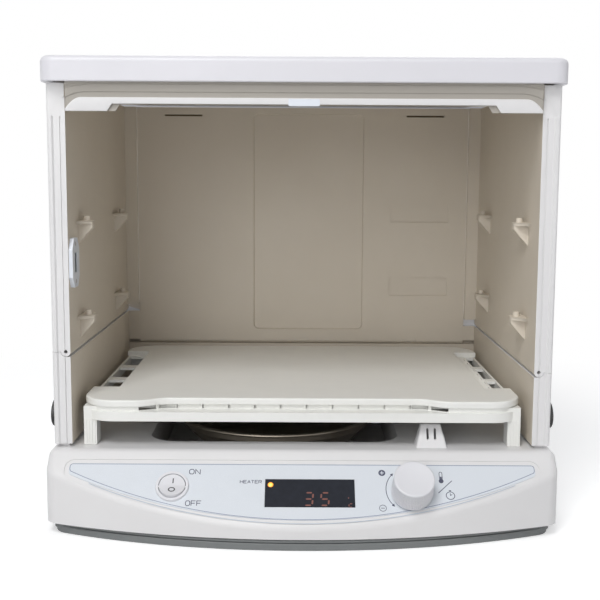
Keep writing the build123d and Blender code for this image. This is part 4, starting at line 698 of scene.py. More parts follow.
def join_rings(shape: bmesh.types.BMesh, rows: Sequence[Sequence[Vector]], ends: Ends = Ends.FLAT) -> None:
    """Join closed rings of points, one after another, into a form.

    Args:
        shape: The bmesh that it goes into.
        rows: The rings in order, each with the same number of points, or with one point at a tip.
        ends: How the row ends.
    """
    rings = [[shape.verts.new(spot) for spot in row] for row in rows]
    steps = max(len(ring) for ring in rings)
    following = rings[1:] + (rings[:1] if ends is Ends.LOOP else [])
    for first, second in zip(rings, following):
        for step in range(steps):
            after = (step + 1) % steps
            corners = (
                first[step % len(first)], first[after % len(first)],
                second[after % len(second)], second[step % len(second)],
            )
            unique = list(dict.fromkeys(corners))
            if len(unique) > 2:
                shape.faces.new(unique)
    if ends is Ends.FLAT:
        shape.faces.new(rings[0][::-1])
        if len(rings[-1]) > 2:
            shape.faces.new(rings[-1])


def arc(
    centre: Point2, radius: float, start: float = 0, end: float = 360, steps: int = 40, squash: float = 1.0
) -> list[Point2]:
    """Points on an arc.

    Args:
        centre: Its middle.
        radius: Its radius across.
        start: The angle it starts at, in degrees.
        end: The angle it ends at.
        steps: Steps along it.
        squash: Its height as a share of its width.

    Returns:
        The points, first to last.
    """
    found = []
    for step in range(steps + 1):
        angle = math.radians(start + (end - start) * step / steps)
        found.append((centre[0] + radius * math.cos(angle), centre[1] + radius * squash * math.sin(angle)))
    return found


def circle(centre: Point2, radius: float, steps: int = 40, squash: float = 1.0) -> list[Point2]:
    """Points once round a circle or an oval, or its middle alone if it has no radius."""
    return [centre] if radius < 1e-7 else arc(centre, radius, steps=steps, squash=squash)[:-1]


# ---------------------------------------------------------------- control panel
@dataclass
class PanelPlane:
    """The sloped control panel: places on it are millimetres across and down from its brow."""

    tilt: float = math.radians(47.5)
    before_walls: float = 5 * MM
    brow_height: float = 69.5 * MM

    @property
    def normal(self) -> Vector:
        """The panel's outward normal."""
        return Vector((0, -math.cos(self.tilt), math.sin(self.tilt)))

    @property
    def up(self) -> Vector:
        """The direction up the slope."""
        return Vector((0, math.sin(self.tilt), math.cos(self.tilt)))

    def at(self, across: float, down: float, height: float = 0.0) -> Vector:
        """A place on or over the panel, in metres.

        Args:
            across: Millimetres to the right of the middle.
            down: Millimetres down from the brow.
            height: Millimetres above the panel's face.

        Returns:
            The point in the frame.
        """
        origin = Vector((0, FRONT_Y - self.before_walls, self.brow_height))
        return origin + (Vector((across, 0, 0)) - self.up * down + self.normal * height) * MM

    def ring(self, centre: Point2, radius: float, height: float, steps: int) -> list[Vector]:
        """Points round a circle over the panel, or its middle alone if it has no radius."""
        return [self.at(x, y, height) for x, y in circle(centre, radius, steps)]


PANEL = PanelPlane()


class Pen:
    """Draws flat strokes, rings and fields on the panel as thin raised print."""

    def __init__(self, name: str, height: float = 0.05, depth: float = 0.04) -> None:
        """Start an empty print.

        Args:
            name: The piece's name.
            height: The print's top above the panel, in millimetres.
            depth: How far its edge goes down, in millimetres.
        """
        self.name, self.height, self.depth = name, height, depth
        self.shape = bmesh.new()

    def _levels(self) -> Point2:
        """The heights of the print's top and foot."""
        return self.height, self.height - self.depth

    def field(self, outline: Sequence[Point2]) -> None:
        """A filled outline.

        Args:
            outline: Its corners, across and down.
        """
        plate(self.shape, *([PANEL.at(*spot, level) for spot in outline] for level in self._levels()))

    def stroke(self, path: Sequence[Point2], width: float, closed: bool = False) -> None:
        """A line of even width with mitred corners.

        Args:
            path: Its points, across and down.
            width: Its width in millimetres.
            closed: Whether it ends where it starts.
        """
        points = [Vector(spot) for spot in path]
        last = len(points) - 1
        top, foot = self._levels()
        rows = []
        for index, point in enumerate(points):
            ways = []
            if index or closed:
                ways.append((point - points[index - 1]).normalized())
            if index < last or closed:
                ways.append((points[(index + 1) % len(points)] - point).normalized())
            way = sum(ways, Vector((0, 0))).normalized()
            across = Vector((-way.y, way.x))
            stretch = 1.0
            if len(ways) == 2:
                stretch = 1 / max(LEAST_MITRE, abs(across.dot(Vector((-ways[0].y, ways[0].x)))))
            offset = across * (width / 2 * stretch)
            left, right = point + offset, point - offset
            rows.append([
                PANEL.at(*left, top), PANEL.at(*right, top), PANEL.at(*right, foot), PANEL.at(*left, foot),
            ])
        join_rings(self.shape, rows, Ends.LOOP if closed else Ends.FLAT)

    def ring(self, centre: Point2, radius: float, width: float, squash: float = 1.0) -> None:
        """A circle or oval line.

        Args:
            centre: Its middle, across and down.
            radius: Its radius across, in millimetres.
            width: The line's width.
            squash: Its height as a share of its width.
        """
        self.stroke(circle(centre, radius, squash=squash), width, closed=True)

    def disc(self, centre: Point2, radius: float) -> None:
        """A filled circle."""
        self.field(circle(centre, radius, 32))

    def finish(self, body: str, slot: str, ink: Finish) -> bpy.types.Object:
        """Put the print into the scene.

        Args:
            body: The CAD body that it rides on.
            slot: The record's material slot.
            ink: Its finish.

        Returns:
            The piece.
        """
        return new_piece(self.name, self.shape, body, slot, ink, smooth=False)


@dataclass
class Letters:
    """Plain wide capitals drawn as strokes in a box one unit wide and one high, from its top left."""

    width: float
    height: float
    line: float
    spacing: float = 1.32

    STEM: ClassVar[tuple[list[Point2], bool]] = ([(0, 0), (0, 1)], False)
    BAR: ClassVar[tuple[list[Point2], bool]] = ([(0, 0.5), (0.85, 0.5)], False)
    SHAPES: ClassVar[dict[str, list[tuple[list[Point2], bool]]]] = {
        "A": [([(0, 1), (0.5, 0), (1, 1)], False), ([(0.18, 0.66), (0.82, 0.66)], False)],
        "E": [([(1, 0), (0, 0), (0, 1), (1, 1)], False), BAR],
        "F": [([(1, 0), (0, 0), (0, 1)], False), BAR],
        "H": [STEM, ([(1, 0), (1, 1)], False), ([(0, 0.5), (1, 0.5)], False)],
        "N": [([(0, 1), (0, 0), (1, 1), (1, 0)], False)],
        "O": [([(0.22, 0), (0.78, 0), (1, 0.26), (1, 0.74), (0.78, 1), (0.22, 1), (0, 0.74), (0, 0.26)], True)],
        "R": [
            ([(0, 1), (0, 0), (0.78, 0), (1, 0.14), (1, 0.4), (0.78, 0.54), (0, 0.54)], False),
            ([(0.6, 0.54), (1, 1)], False),
        ],
        "T": [([(0, 0), (1, 0)], False), ([(0.5, 0), (0.5, 1)], False)],
    }

    def write(self, pen: Pen, word: str, middle: Point2) -> None:
        """Draw a word.

        Args:
            pen: The print that it goes into.
            word: Its letters.
            middle: The word's middle on the panel.
        """
        pitch = self.width * self.spacing
        left = middle[0] - (pitch * (len(word) - 1) + self.width) / 2
        for index, letter in enumerate(word):
            for path, closed in self.SHAPES[letter]:
                start = left + index * pitch
                spots = [(start + x * self.width, middle[1] + (y - 0.5) * self.height) for x, y in path]
                pen.stroke(spots, self.line, closed)


@dataclass
class ControlPanel:
    """The printed film, its words and signs, and the display. Sizes are in millimetres on the panel."""

    film_half: float = 196.0
    film_top: float = 14.0
    film_bottom: float = 66.3
    film_shoulder: Point2 = (185.0, 26.5)
    curve_steps: int = 90
    curve_share: float = 0.995
    line_inset: float = 0.5
    line: float = 0.55
    outer_gap: float = 3.2
    outer_line: float = 0.45
    outer_from: float = 32.5
    words: tuple[tuple[str, Point2, Letters], ...] = (
        ("ON", (-90.1, 21.6), Letters(3.9, 4.4, 0.66)),
        ("OFF", (-89.4, 51.3), Letters(3.5, 4.4, 0.66)),
        ("HEATER", (-42.8, 31.0), Letters(2.35, 2.7, 0.52)),
    )
    plus_at: Point2 = (66.9, 22.0)
    plus_radius: float = 2.9
    plus_line: float = 0.75
    minus_at: Point2 = (66.2, 55.0)
    minus_radius: float = 2.8
    half_bar: float = 1.6
    sign_line: float = 0.62
    hand_line: float = 0.5
    sweep_at: Point2 = (91.0, 38.0)
    sweep_radius: float = 21.4
    sweep_span: Point2 = (137, 223)
    thermometer_at: Point2 = (116.1, 25.2)
    slash: tuple[Point2, Point2] = ((112.9, 40.8), (125.0, 29.2))
    stopwatch_at: Point2 = (122.6, 43.2)
    lamp_at: Point2 = (-26.3, 33.8)
    lamp_radius: float = 2.3
    lamp_foot: float = 0.21
    lamp_rise: float = 0.35
    lamp_rings: int = 4
    digits: tuple[tuple[str, Point2, Point2, float], ...] = (
        ("3", (5.4, 47.0), (6.6, 11.6), 1.35), ("5", (18.8, 47.0), (6.6, 11.6), 1.35),
        ("c", (40.2, 51.2), (3.2, 6.2), 0.75),
    )
    degree_at: Point2 = (38.3, 45.9)
    lean: float = 0.09

    def film_outline(self, inset: float) -> list[Point2]:
        """The D-shaped film's outline.

        Args:
            inset: Millimetres inside its edge.

        Returns:
            Its points, across and down.
        """
        rise = self.film_bottom - self.film_shoulder[1]
        radius = (self.film_shoulder[0] ** 2 + rise**2) / (2 * rise)
        middle = self.film_bottom - radius
        half, top = self.film_half - inset, self.film_top + inset
        inner = radius - inset
        end = math.degrees(math.asin(half / inner))
        corner = middle + inner * math.cos(math.radians(end))
        points = [(-half + 2, top), (half - 2, top), (half - 0.5, top + 0.6), (half, top + 2)]
        points.append((half, corner - 1.5))
        sweep = end * self.curve_share
        for step in range(self.curve_steps + 1):
            angle = math.radians(sweep - 2 * sweep * step / self.curve_steps)
            points.append((inner * math.sin(angle), middle + inner * math.cos(angle)))
        return points + [(-half, corner - 1.5), (-half, top + 2), (-half + 0.5, top + 0.6)]

    def build(self) -> None:
        """Dress the panel and draw its print."""
        dress(Finish.FILM, "panel_overlay")
        dress(Finish.WINDOW, "display_window")
        dress(Finish.BOARD, "display_digits", "display_board")
        dress(Finish.STEEL, "display_screws")
        dress(Finish.DIGIT, "heater_lamp")
        self._outline()
        self._words()
        self._signs()
        self._display()
        self._lamp()

    def _outline(self) -> None:
        """The blue-grey printed line round the film, and below it a fainter line, a painted shadow of the
        panel's moulded step.
        """
        pen = Pen("panel_outline")
        pen.stroke(self.film_outline(self.line_inset), self.line, closed=True)
        pen.finish("base", "panel_print", Finish.LINE_INK)
        # A painted shadow of the moulded step along the film's lower curve.
        outside = Pen("panel_step_shadow_line")
        low_curve = [spot for spot in self.film_outline(-self.outer_gap) if spot[1] > self.outer_from]
        outside.stroke(low_curve, self.outer_line)
        outside.finish("base", "panel_print", Finish.FAINT_INK)

    def _words(self) -> None:
        """The words beside the switch and the lamp."""
        pen = Pen("panel_words")
        for word, middle, letters in self.words:
            letters.write(pen, word, middle)
        pen.finish("base", "panel_print", Finish.INK)

    def _signs(self) -> None:
        """The signs round the knob: plus, minus, a two-way arrow, a thermometer and a stopwatch."""
        pen, cross, bar = Pen("panel_signs"), Pen("plus_mark", height=0.09), self.half_bar
        x, y = self.plus_at
        pen.disc((x, y), self.plus_radius)
        cross.stroke([(x - bar, y), (x + bar, y)], self.plus_line)
        cross.stroke([(x, y - bar), (x, y + bar)], self.plus_line)
        cross.finish("base", "panel_print", Finish.FILM)
        x, y = self.minus_at
        pen.ring((x, y), self.minus_radius, 0.48)
        pen.stroke([(x - bar, y), (x + bar, y)], 0.55)
        sweep = arc(self.sweep_at, self.sweep_radius, *self.sweep_span, 24)
        pen.stroke(sweep, self.sign_line)
        for tip, inner in ((sweep[0], sweep[2]), (sweep[-1], sweep[-3])):
            self._arrowhead(pen, Vector(tip), Vector(inner))
        self._thermometer(pen)
        pen.stroke(self.slash, self.sign_line)
        self._stopwatch(pen)
        pen.finish("base", "panel_print", Finish.INK)

    @staticmethod
    def _arrowhead(pen: Pen, tip: Vector, inner: Vector) -> None:
        """A solid head on the arrow's end.

        Args:
            pen: The print that it goes into.
            tip: The arrow's end.
            inner: A place a little further in along it.
        """
        way = (tip - inner).normalized()
        side = Vector((-way.y, way.x)) * 1.35
        base = tip - way * 1.2
        pen.field([tuple(tip + way * 1.3), tuple(base + side), tuple(base - side)])

    def _thermometer(self, pen: Pen) -> None:
        """A bulb with a stem, part filled.

        Args:
            pen: The print that it goes into.
        """
        x, y = self.thermometer_at
        pen.disc((x, y + 4.4), 2.0)
        pen.stroke([(x, y + 3.4), (x, y + 0.2)], 1.5)
        stem = arc((x, y - 3.0), 1.2, 180, 360, 12)
        pen.stroke([(x - 1.2, y + 3.0), *stem, (x + 1.2, y + 3.0)], self.hand_line)

    def _stopwatch(self, pen: Pen) -> None:
        """A round watch with its crown and one hand.

        Args:
            pen: The print that it goes into.
        """
        x, y = self.stopwatch_at
        pen.ring((x, y), 3.5, self.sign_line)
        for path, line in (
            ([(x, y), (x, y - 2.2)], self.hand_line), ([(x, y), (x + 1.5, y - 1.2)], self.hand_line),
            ([(x - 1.0, y - 4.6), (x + 1.0, y - 4.6)], 0.8), ([(x, y - 3.6), (x, y - 4.6)], self.hand_line),
        ):
            pen.stroke(path, line)

    def _display(self) -> None:
        """The digits and a small degree sign with c, under the window."""
        pen = Pen("display_segments", height=0.26)
        for digit in self.digits:
            self._seven(pen, *digit)
        pen.disc(self.degree_at, 0.5)
        pen.finish("base", "digit_red", Finish.DIGIT)

    def _seven(self, pen: Pen, figure: str, at: Point2, size: Point2, line: float) -> None:
        """One seven-segment figure.

        Args:
            pen: The print that it goes into.
            figure: Which figure.
            at: Its middle.
            size: Its width and height.
            line: A segment's width.
        """
        lit = {"3": "abgcd", "5": "afgcd", "c": "ged"}[figure]
        half, high = size[0] / 2, size[1] / 2
        gap, cut = line * 0.62, line / 2
        level = {"a": -high, "g": 0, "d": high}
        upright = {"b": (half, -high + gap, -gap), "f": (-half, -high + gap, -gap)}
        upright |= {"c": (half, gap, high - gap), "e": (-half, gap, high - gap)}
        for name in lit:
            if name in level:
                y, x0, x1 = level[name], -half + gap, half - gap
                ends = [(x0, y), (x0 + cut, y - cut), (x1 - cut, y - cut), (x1, y), (x1 - cut, y + cut)]
                outline = [*ends, (x0 + cut, y + cut)]
            else:
                x, y0, y1 = upright[name]
                ends = [(x, y0), (x + cut, y0 + cut), (x + cut, y1 - cut), (x, y1), (x - cut, y1 - cut)]
                outline = [*ends, (x - cut, y0 + cut)]
            pen.field([(at[0] + x - y * self.lean, at[1] + y) for x, y in outline])

    def _lamp(self) -> None:
        """The lit amber lamp showing through the window as a low dome."""
        lens = LitLens(
            "amber lamp, lit", shown(226, 128, 18), shown(255, 224, 110), PANEL.at(*self.lamp_at, 0.3),
            self.lamp_radius * MM, 1.1,
        )
        rows = []
        for step in range(self.lamp_rings + 1):
            turn = step / self.lamp_rings * math.pi / 2
            height = self.lamp_foot + self.lamp_rise * math.sin(turn)
            rows.append(PANEL.ring(self.lamp_at, self.lamp_radius * math.cos(turn), height, 32))
        shape = bmesh.new()
        join_rings(shape, rows)
        new_piece("heater_lamp_glow", shape, "base", "lamp_amber", lens)


@dataclass
class SettingKnob:
    """The ribbed setting knob with its shallow dished face. Sizes are in millimetres."""

    at: Point2 = (91.0, 40.5)
    low: float = 1.6
    height: float = 21.0
    foot_radius: float = 17.5
    top_radius: float = 16.7
    bore_radius: float = 3.02
    boss_radius: float = 5.5
    skirt_radius: float = 13.5
    face_thickness: float = 5.0
    edge: float = 1.2
    edge_steps: int = 5
    ribs: int = 64
    steps_per_rib: int = 6
    rib_depth: float = 0.65

    def build(self) -> None:
        """Make the knob and dress what turns with it."""
        dress(Finish.STEEL, "encoder_shaft", "encoder_nut")
        dress(Finish.BLACK, "encoder_rotor", "encoder_body")
        shape = bmesh.new()
        join_rings(shape, [self._ring(*row) for row in self._profile()], Ends.OPEN)
        knob = new_piece("setting_knob", shape, "knob", "pale_plastic", Finish.PALE)
        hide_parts("control_knob")

    def _ring(self, radius: float, height: float, rib: float) -> list[Vector]:
        """The points round the knob at one height.

        Args:
            radius: The radius at the ribs' crests.
            height: The height above the panel.
            rib: The ribs' share of their full depth.

        Returns:
            The points, or one point on the axis.
        """
        if radius < TINY:
            return [PANEL.at(*self.at, height)]
        steps = self.ribs * self.steps_per_rib
        found = []
        for step in range(steps):
            wave = 0.5 + 0.5 * math.cos(2 * math.pi * step / self.steps_per_rib)
            reach = radius - self.rib_depth * rib * (1 - wave**0.6)
            angle = 2 * math.pi * step / steps
            across, down = self.at[0] + reach * math.cos(angle), self.at[1] + reach * math.sin(angle)
            found.append(PANEL.at(across, down, height))
        return found

    def _profile(self) -> list[tuple[float, float, float]]:
        """Radius, height and rib share, from the bore's top out, down, up and in to the face's middle."""
        low, top, foot = self.low, self.low + self.height, self.foot_radius
        under = top - self.face_thickness
        rows = [(self.bore_radius, under, 0), (self.bore_radius, low + 2.6, 0)]
        rows += [(self.boss_radius, low + 2.6, 0), (self.boss_radius, under, 0)]
        rows += [(self.skirt_radius, under, 0), (self.skirt_radius, low, 0)]
        rows += [(foot - 0.4, low, 0), (foot, low + 0.4, 0), (foot, low + 1.3, 0)]
        grip_low, grip_top = low + 1.4, top - self.edge - 1.4
        for share in (0.0, 0.03, 0.5, 0.97, 1.0):
            radius = foot + (self.top_radius - foot) * share
            rows.append((radius, grip_low + (grip_top - grip_low) * share, 0 if share in (0.0, 1.0) else 1))
        face, brow = self.top_radius - self.edge, top - self.edge
        for step in range(self.edge_steps + 1):
            angle = math.radians(90 * step / self.edge_steps)
            rows.append((face + self.edge * math.cos(angle), brow + self.edge * math.sin(angle), 0))
        for share in (0.92, 0.8, 0.6, 0.4, 0.2):
            rows.append((face * share, top - 0.99 * (1 - share**2), 0))
        return rows + [(0.0, top - 1.0, 0)]


@dataclass
class PowerSwitch:
    """The round rocker switch with its marks."""

    at: Point2 = (-108.0, 36.0)
    mark_line: float = 0.95
    print_top: float = 0.05 * MM
    print_foot: float = -0.03 * MM

    def build(self) -> None:
        """Dress the switch and put the marks on the rocker."""
        SoftCopy("switch_housing", "base", "pale_plastic", 0.35 * MM, 0.5 * MM).build(Finish.PALE)
        SoftCopy("power_rocker", "rocker", "pale_plastic", 0.5 * MM, 0.5 * MM).build(Finish.PALE)
        dress(Finish.STEEL, "rocker_pin")
        dress(Finish.BRASS, "switch_terminals")
        pen = Pen("rocker_marks", height=20.0, depth=0.08)
        x, y = self.at
        pen.stroke([(x + 0.6, y - down) for down in (7.0, 6.0, 3.4, 2.4)], self.mark_line)
        pen.ring((x, y + 4.0), 2.5, self.mark_line, squash=0.8)
        self._settle(pen)
        pen.finish("rocker", "black_plastic", Finish.MARK_INK)

    def _settle(self, pen: Pen) -> None:
        """Lower the print onto the rocker's face.

        Args:
            pen: The print.
        """
        tree = surface_tree("power_rocker")
        for vert in pen.shape.verts:
            spot, _, _, _ = tree.ray_cast(vert.co, -PANEL.normal)
            if spot is not None:
                above = (vert.co - PANEL.at(0, 0, pen.height)).dot(PANEL.normal)
                vert.co = spot + PANEL.normal * (self.print_top if above > -0.02 * MM else self.print_foot)


# ---------------------------------------------------------------- base, walls, lid, tray and pan
@dataclass
class BaseUnit:
    """The base with its deck, skirt, feet, guard, side caps and heater. Sizes are in millimetres."""

    bow_radius: float = 617.3
    bow: float = 59.0
    skirt_half: float = 210.6
    skirt_steps: int = 96
    skirt_return: float = 12.0
    front_inset: float = 0.9
    corner_inset: float = 6.4
    corner: float = 9.0
    skirt_section: tuple[Point2, ...] = (
        (3.0, 9.4), (2.0, 9.0), (0.5, 8.9), (0.1, 8.5), (0.1, 7.3), (0.5, 6.9), (1.9, 6.8), (1.9, 6.2),
        (0.4, 6.0), (0.1, 5.5), (0.3, 0.8), (0.7, 0.3), (3.5, 0.3),
    )
    cap_at: Point2 = (18.0, 96.5)
    cap_radii: Point2 = (15.0, 12.0)
    cap_steps: int = 72
    cap_rows: tuple[Point2, ...] = ((212.3, 0.0), (215.3, 0.0), (215.9, 0.4), (216.1, 1.2))

    def build(self) -> None:
        """Dress the base's pieces."""
        dress(Finish.SHELL, "base_shell")
        dress(Finish.SKIRT, "bottom_cover")
        self._skirt()
        dress(Finish.RUBBER, "rubber_feet")
        SoftCopy("sensor_guard", "base", "shell_white", 0.5 * MM, 3 * MM).build(Finish.SHELL)
        dress(Finish.STEEL, "bottom_screws", "heater_clips", "heater_ring", "temperature_sensor")
        dress(Finish.BLACK, "thermal_cutout", "power_transformer", "heater_relay", "power_inlet")
        dress(Finish.BRASS, "inlet_pins")
        dress(Finish.BOARD, "control_board")
        for side, word in ((-1, "left"), (1, "right")):
            self._side_cap(side, word)

    def _skirt_line(self) -> list[tuple[Vector, Vector]]:
        """The skirt's line round the front, as places and outward directions, from left to right."""
        line = []
        for step in range(self.skirt_steps + 1):
            across = self.skirt_half * math.sin(math.radians(-90 + 180 * step / self.skirt_steps))
            share = abs(across) / self.skirt_half
            depth = self.bow_radius - self.bow - math.sqrt(self.bow_radius**2 - across**2)
            depth += self.front_inset + (self.corner_inset - self.front_inset) * share**3
            past = abs(across) - (self.skirt_half - self.corner)
            if past > 0:
                depth += self.corner - math.sqrt(max(0.0, self.corner**2 - past**2))
            line.append(Vector((across, depth, 0)))
        back = line[0].y + self.skirt_return
        line = [Vector((-self.skirt_half, back, 0)), *line, Vector((self.skirt_half, back, 0))]
        found = []
        for index, spot in enumerate(line):
            way = line[min(index + 1, len(line) - 1)] - line[max(index - 1, 0)]
            found.append((spot, Vector((way.y, -way.x, 0)).normalized()))
        return found

    def _skirt(self) -> None:
        """The grey skirt with its bead, close under the base's front edge."""
        rows = [
            [
                (spot - out * depth + Vector((0, 0, height))) * MM + Vector((0, FRONT_Y, 0))
                for depth, height in self.skirt_section
            ]
            for spot, out in self._skirt_line()
        ]
        shape = bmesh.new()
        join_rings(shape, rows)
        new_piece("front_skirt", shape, "base", "skirt_grey", Finish.SKIRT)

    def _side_cap(self, side: int, word: str) -> None:
        """The oval cap on an upstand, a little further forward and more proud than the CAD's.

        Args:
            side: -1 for the left one, 1 for the right one.
            word: The side's word in the piece's name.
        """
        (y, z), (long, high) = self.cap_at, self.cap_radii
        rows = []
        for reach, inset in self.cap_rows:
            row = [
                Vector((side * reach, y + (long - inset) * along, z + (high - inset) * up)) * MM
                for along, up in circle((0.0, 0.0), 1.0, self.cap_steps)
            ]
            rows.append([spot + Vector((0, FRONT_Y, 0)) for spot in row[::side]])
        shape = bmesh.new()
        join_rings(shape, rows)
        cap = new_piece(f"{word}_oval", shape, "base", "black_plastic", Finish.BLACK)
        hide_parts(f"{word}_side_cap")


@dataclass
class Chamber:
    """The three folding walls, their fixed upstands and the hinge pins."""

    edge: float = 0.8 * MM
    wall_depth: float = 295.7 * MM
    post_depth: float = 300 * MM
    back_half: float = 184.8 * MM
    shade_half: float = 198.5 * MM
    shade_from: float = 4 * MM
    wall_top: float = 378.4 * MM
    top_band: float = 0.9 * MM
    top_gap: float = 1.5 * MM
    closer: float = 0.24 * MM
    upstand_back: float = 0.29 * MM
    slot_xs: Point2 = (-133 * MM, 137 * MM)
    slot_size: Point2 = (42 * MM, 2 * MM)
    slot_z: float = 368.1 * MM
    slot_back: float = 300.5 * MM
    shade_back_depth: float = 1.2 * MM
    overlap: float = 0.2 * MM

    def build(self) -> None:
        """Make the walls with soft edges, white outside and with painted shade on their faces inside the
        chamber.
        """
        for word, body in (("left", "left_wall"), ("right", "right_wall")):
            self._wall(f"{word}_side_wall", body, self._reach_back, self._at_rear)
            self._wall(f"{word}_wall_upstand", "base", self._clear_back, self._at_rear)
        self._wall("back_wall", "rear_wall", self._reach_sides, self._at_sides)
        self._slot_backs()
        self._wall("back_wall_upstand", "base")
        dress(Finish.STEEL, "left_hinge_pin", "right_hinge_pin", "back_hinge_pin")
        SoftCopy("catch_body", "left_wall", "pale_plastic", 0.35 * MM, 2 * MM).build(Finish.CATCH)
        dress(Finish.MAGNET, "catch_magnet")
        dress(Finish.STEEL, "catch_screws")

    def _wall(self, node: str, body: str, move: Callable | None = None, sharp: Callable | None = None) -> None:
        """One wall or upstand, white outside and with painted shade, darker and warmer, on its faces inside the
        chamber.

        Args:
            node: The CAD node.
            body: The body that it rides on.
            move: Gives each point's new place.
            sharp: Says whether a point is on an edge that stays sharp.
        """
        SoftCopy(node, body, "shell_white", self.edge).build(
            Finish.SHELL, Finish.LINING, paint=self._painted_shade_index, move=move, sharp=sharp
        )

    def _painted_shade_index(self, middle: Vector, normal: Vector) -> int:
        """Which finish a wall's face has: white, or the painted shade on the chamber's inner faces.

        Args:
            middle: The face's middle.
            normal: Its normal.

        Returns:
            1, the painted shade, inside the chamber, 0, white, outside it.
        """
        inward = -middle.x * normal.x > TINY and abs(normal.x) > 0.5
        inside = abs(middle.x) < self.shade_half and middle.y > FRONT_Y + self.shade_from
        return int(inside and (inward or normal.y < -0.2 or abs(normal.z) > 0.5))

    def _at_rear(self, spot: Vector) -> bool:
        """Whether a point is on a side wall's rear end."""
        return spot.y > FRONT_Y + self.wall_depth - NEAR

    def _at_sides(self, spot: Vector) -> bool:
        """Whether a point is on the back wall's side faces."""
        return abs(spot.x) > self.back_half - NEAR

    def _lowered(self, spot: Vector) -> float:
        """How far a point of a wall's top goes down, to clear the lid's rim."""
        return self.top_gap if spot.z > self.wall_top - self.top_band else 0.0

    def _reach_back(self, spot: Vector) -> Vector:
        """Bring a side wall's rear end up to the back wall, so no light shows between them."""
        return spot + Vector((0, self.closer if self._at_rear(spot) else 0.0, -self._lowered(spot)))

    def _clear_back(self, spot: Vector) -> Vector:
        """Move an upstand's faces at the walls' rear ends just clear of them."""
        at_walls = self._at_rear(spot) and spot.y < FRONT_Y + self.post_depth
        return spot + Vector((0, self.upstand_back if at_walls else 0.0, 0))

    def _reach_sides(self, spot: Vector) -> Vector:
        """Bring the back wall's side faces up to the side walls' flanges."""
        aside = math.copysign(self.closer, spot.x) if self._at_sides(spot) else 0.0
        return spot + Vector((aside, 0, -self._lowered(spot)))

    def _slot_backs(self) -> None:
        """Dark backs deep in the two air slots of the back wall, painted shade where the slots show only shade.
        """
        shape = bmesh.new()
        half, high = (size / 2 + self.overlap for size in self.slot_size)
        near = FRONT_Y + self.slot_back
        for x in self.slot_xs:
            outline = [(x + a * half, self.slot_z + b * high) for a, b in ((-1, -1), (1, -1), (1, 1), (-1, 1))]
            prism(shape, outline, near, near + self.shade_back_depth)
        new_piece("slot_backs", shape, "rear_wall", "shell_white", Finish.GAUZE, smooth=False)


@dataclass
class Lid:
    """The lift-off lid, a little wider and deeper at its lower edge than the CAD's."""

    bottom: float = 379.6 * MM
    half: float = 214.5 * MM
    end: float = 15 * MM
    front: float = 10 * MM
    back: float = 308 * MM
    corner: float = 12 * MM
    rounding: float = 1.4 * MM
    wider: float = 2.2 * MM
    deeper: float = 2.2 * MM

    def build(self) -> None:
        """Make the lid's pieces."""
        SoftCopy("lid_cover", "lid", "shell_white", 0.3 * MM, 40 * MM).build(
            Finish.LID, move=self._spread, sharp=lambda spot: True
        )
        # The liner under the lid takes the chamber's painted shade.
        dress(Finish.LINING, "lid_liner")
        SoftCopy("latch_pad", "lid", "pale_plastic", 0.4 * MM, 2 * MM).build(Finish.CATCH)

    def _spread(self, spot: Vector) -> Vector:
        """Move the lid's ends outwards, and its lower outer edge down.

        Args:
            spot: A point of the lid.

        Returns:
            Its new place.
        """
        wide = math.copysign(self.wider, spot.x) if abs(spot.x) > self.half - self.end else 0.0
        across = max(0.0, abs(spot.x) - (self.half - self.corner))
        past = spot.y - FRONT_Y
        along = max(0.0, self.corner - self.front - past, past - (self.back - self.corner))
        outer = math.hypot(across, along) > self.corner - self.rounding
        low_edge = spot.z < self.bottom + self.rounding
        return spot + Vector((wide, 0, -self.deeper if low_edge and outer else 0.0))


@dataclass
class BeamRow:
    """One long edge of the beam: its height, its place before the walls, and how its ends bend down."""

    height: float
    forward: float
    run: float
    drop: float


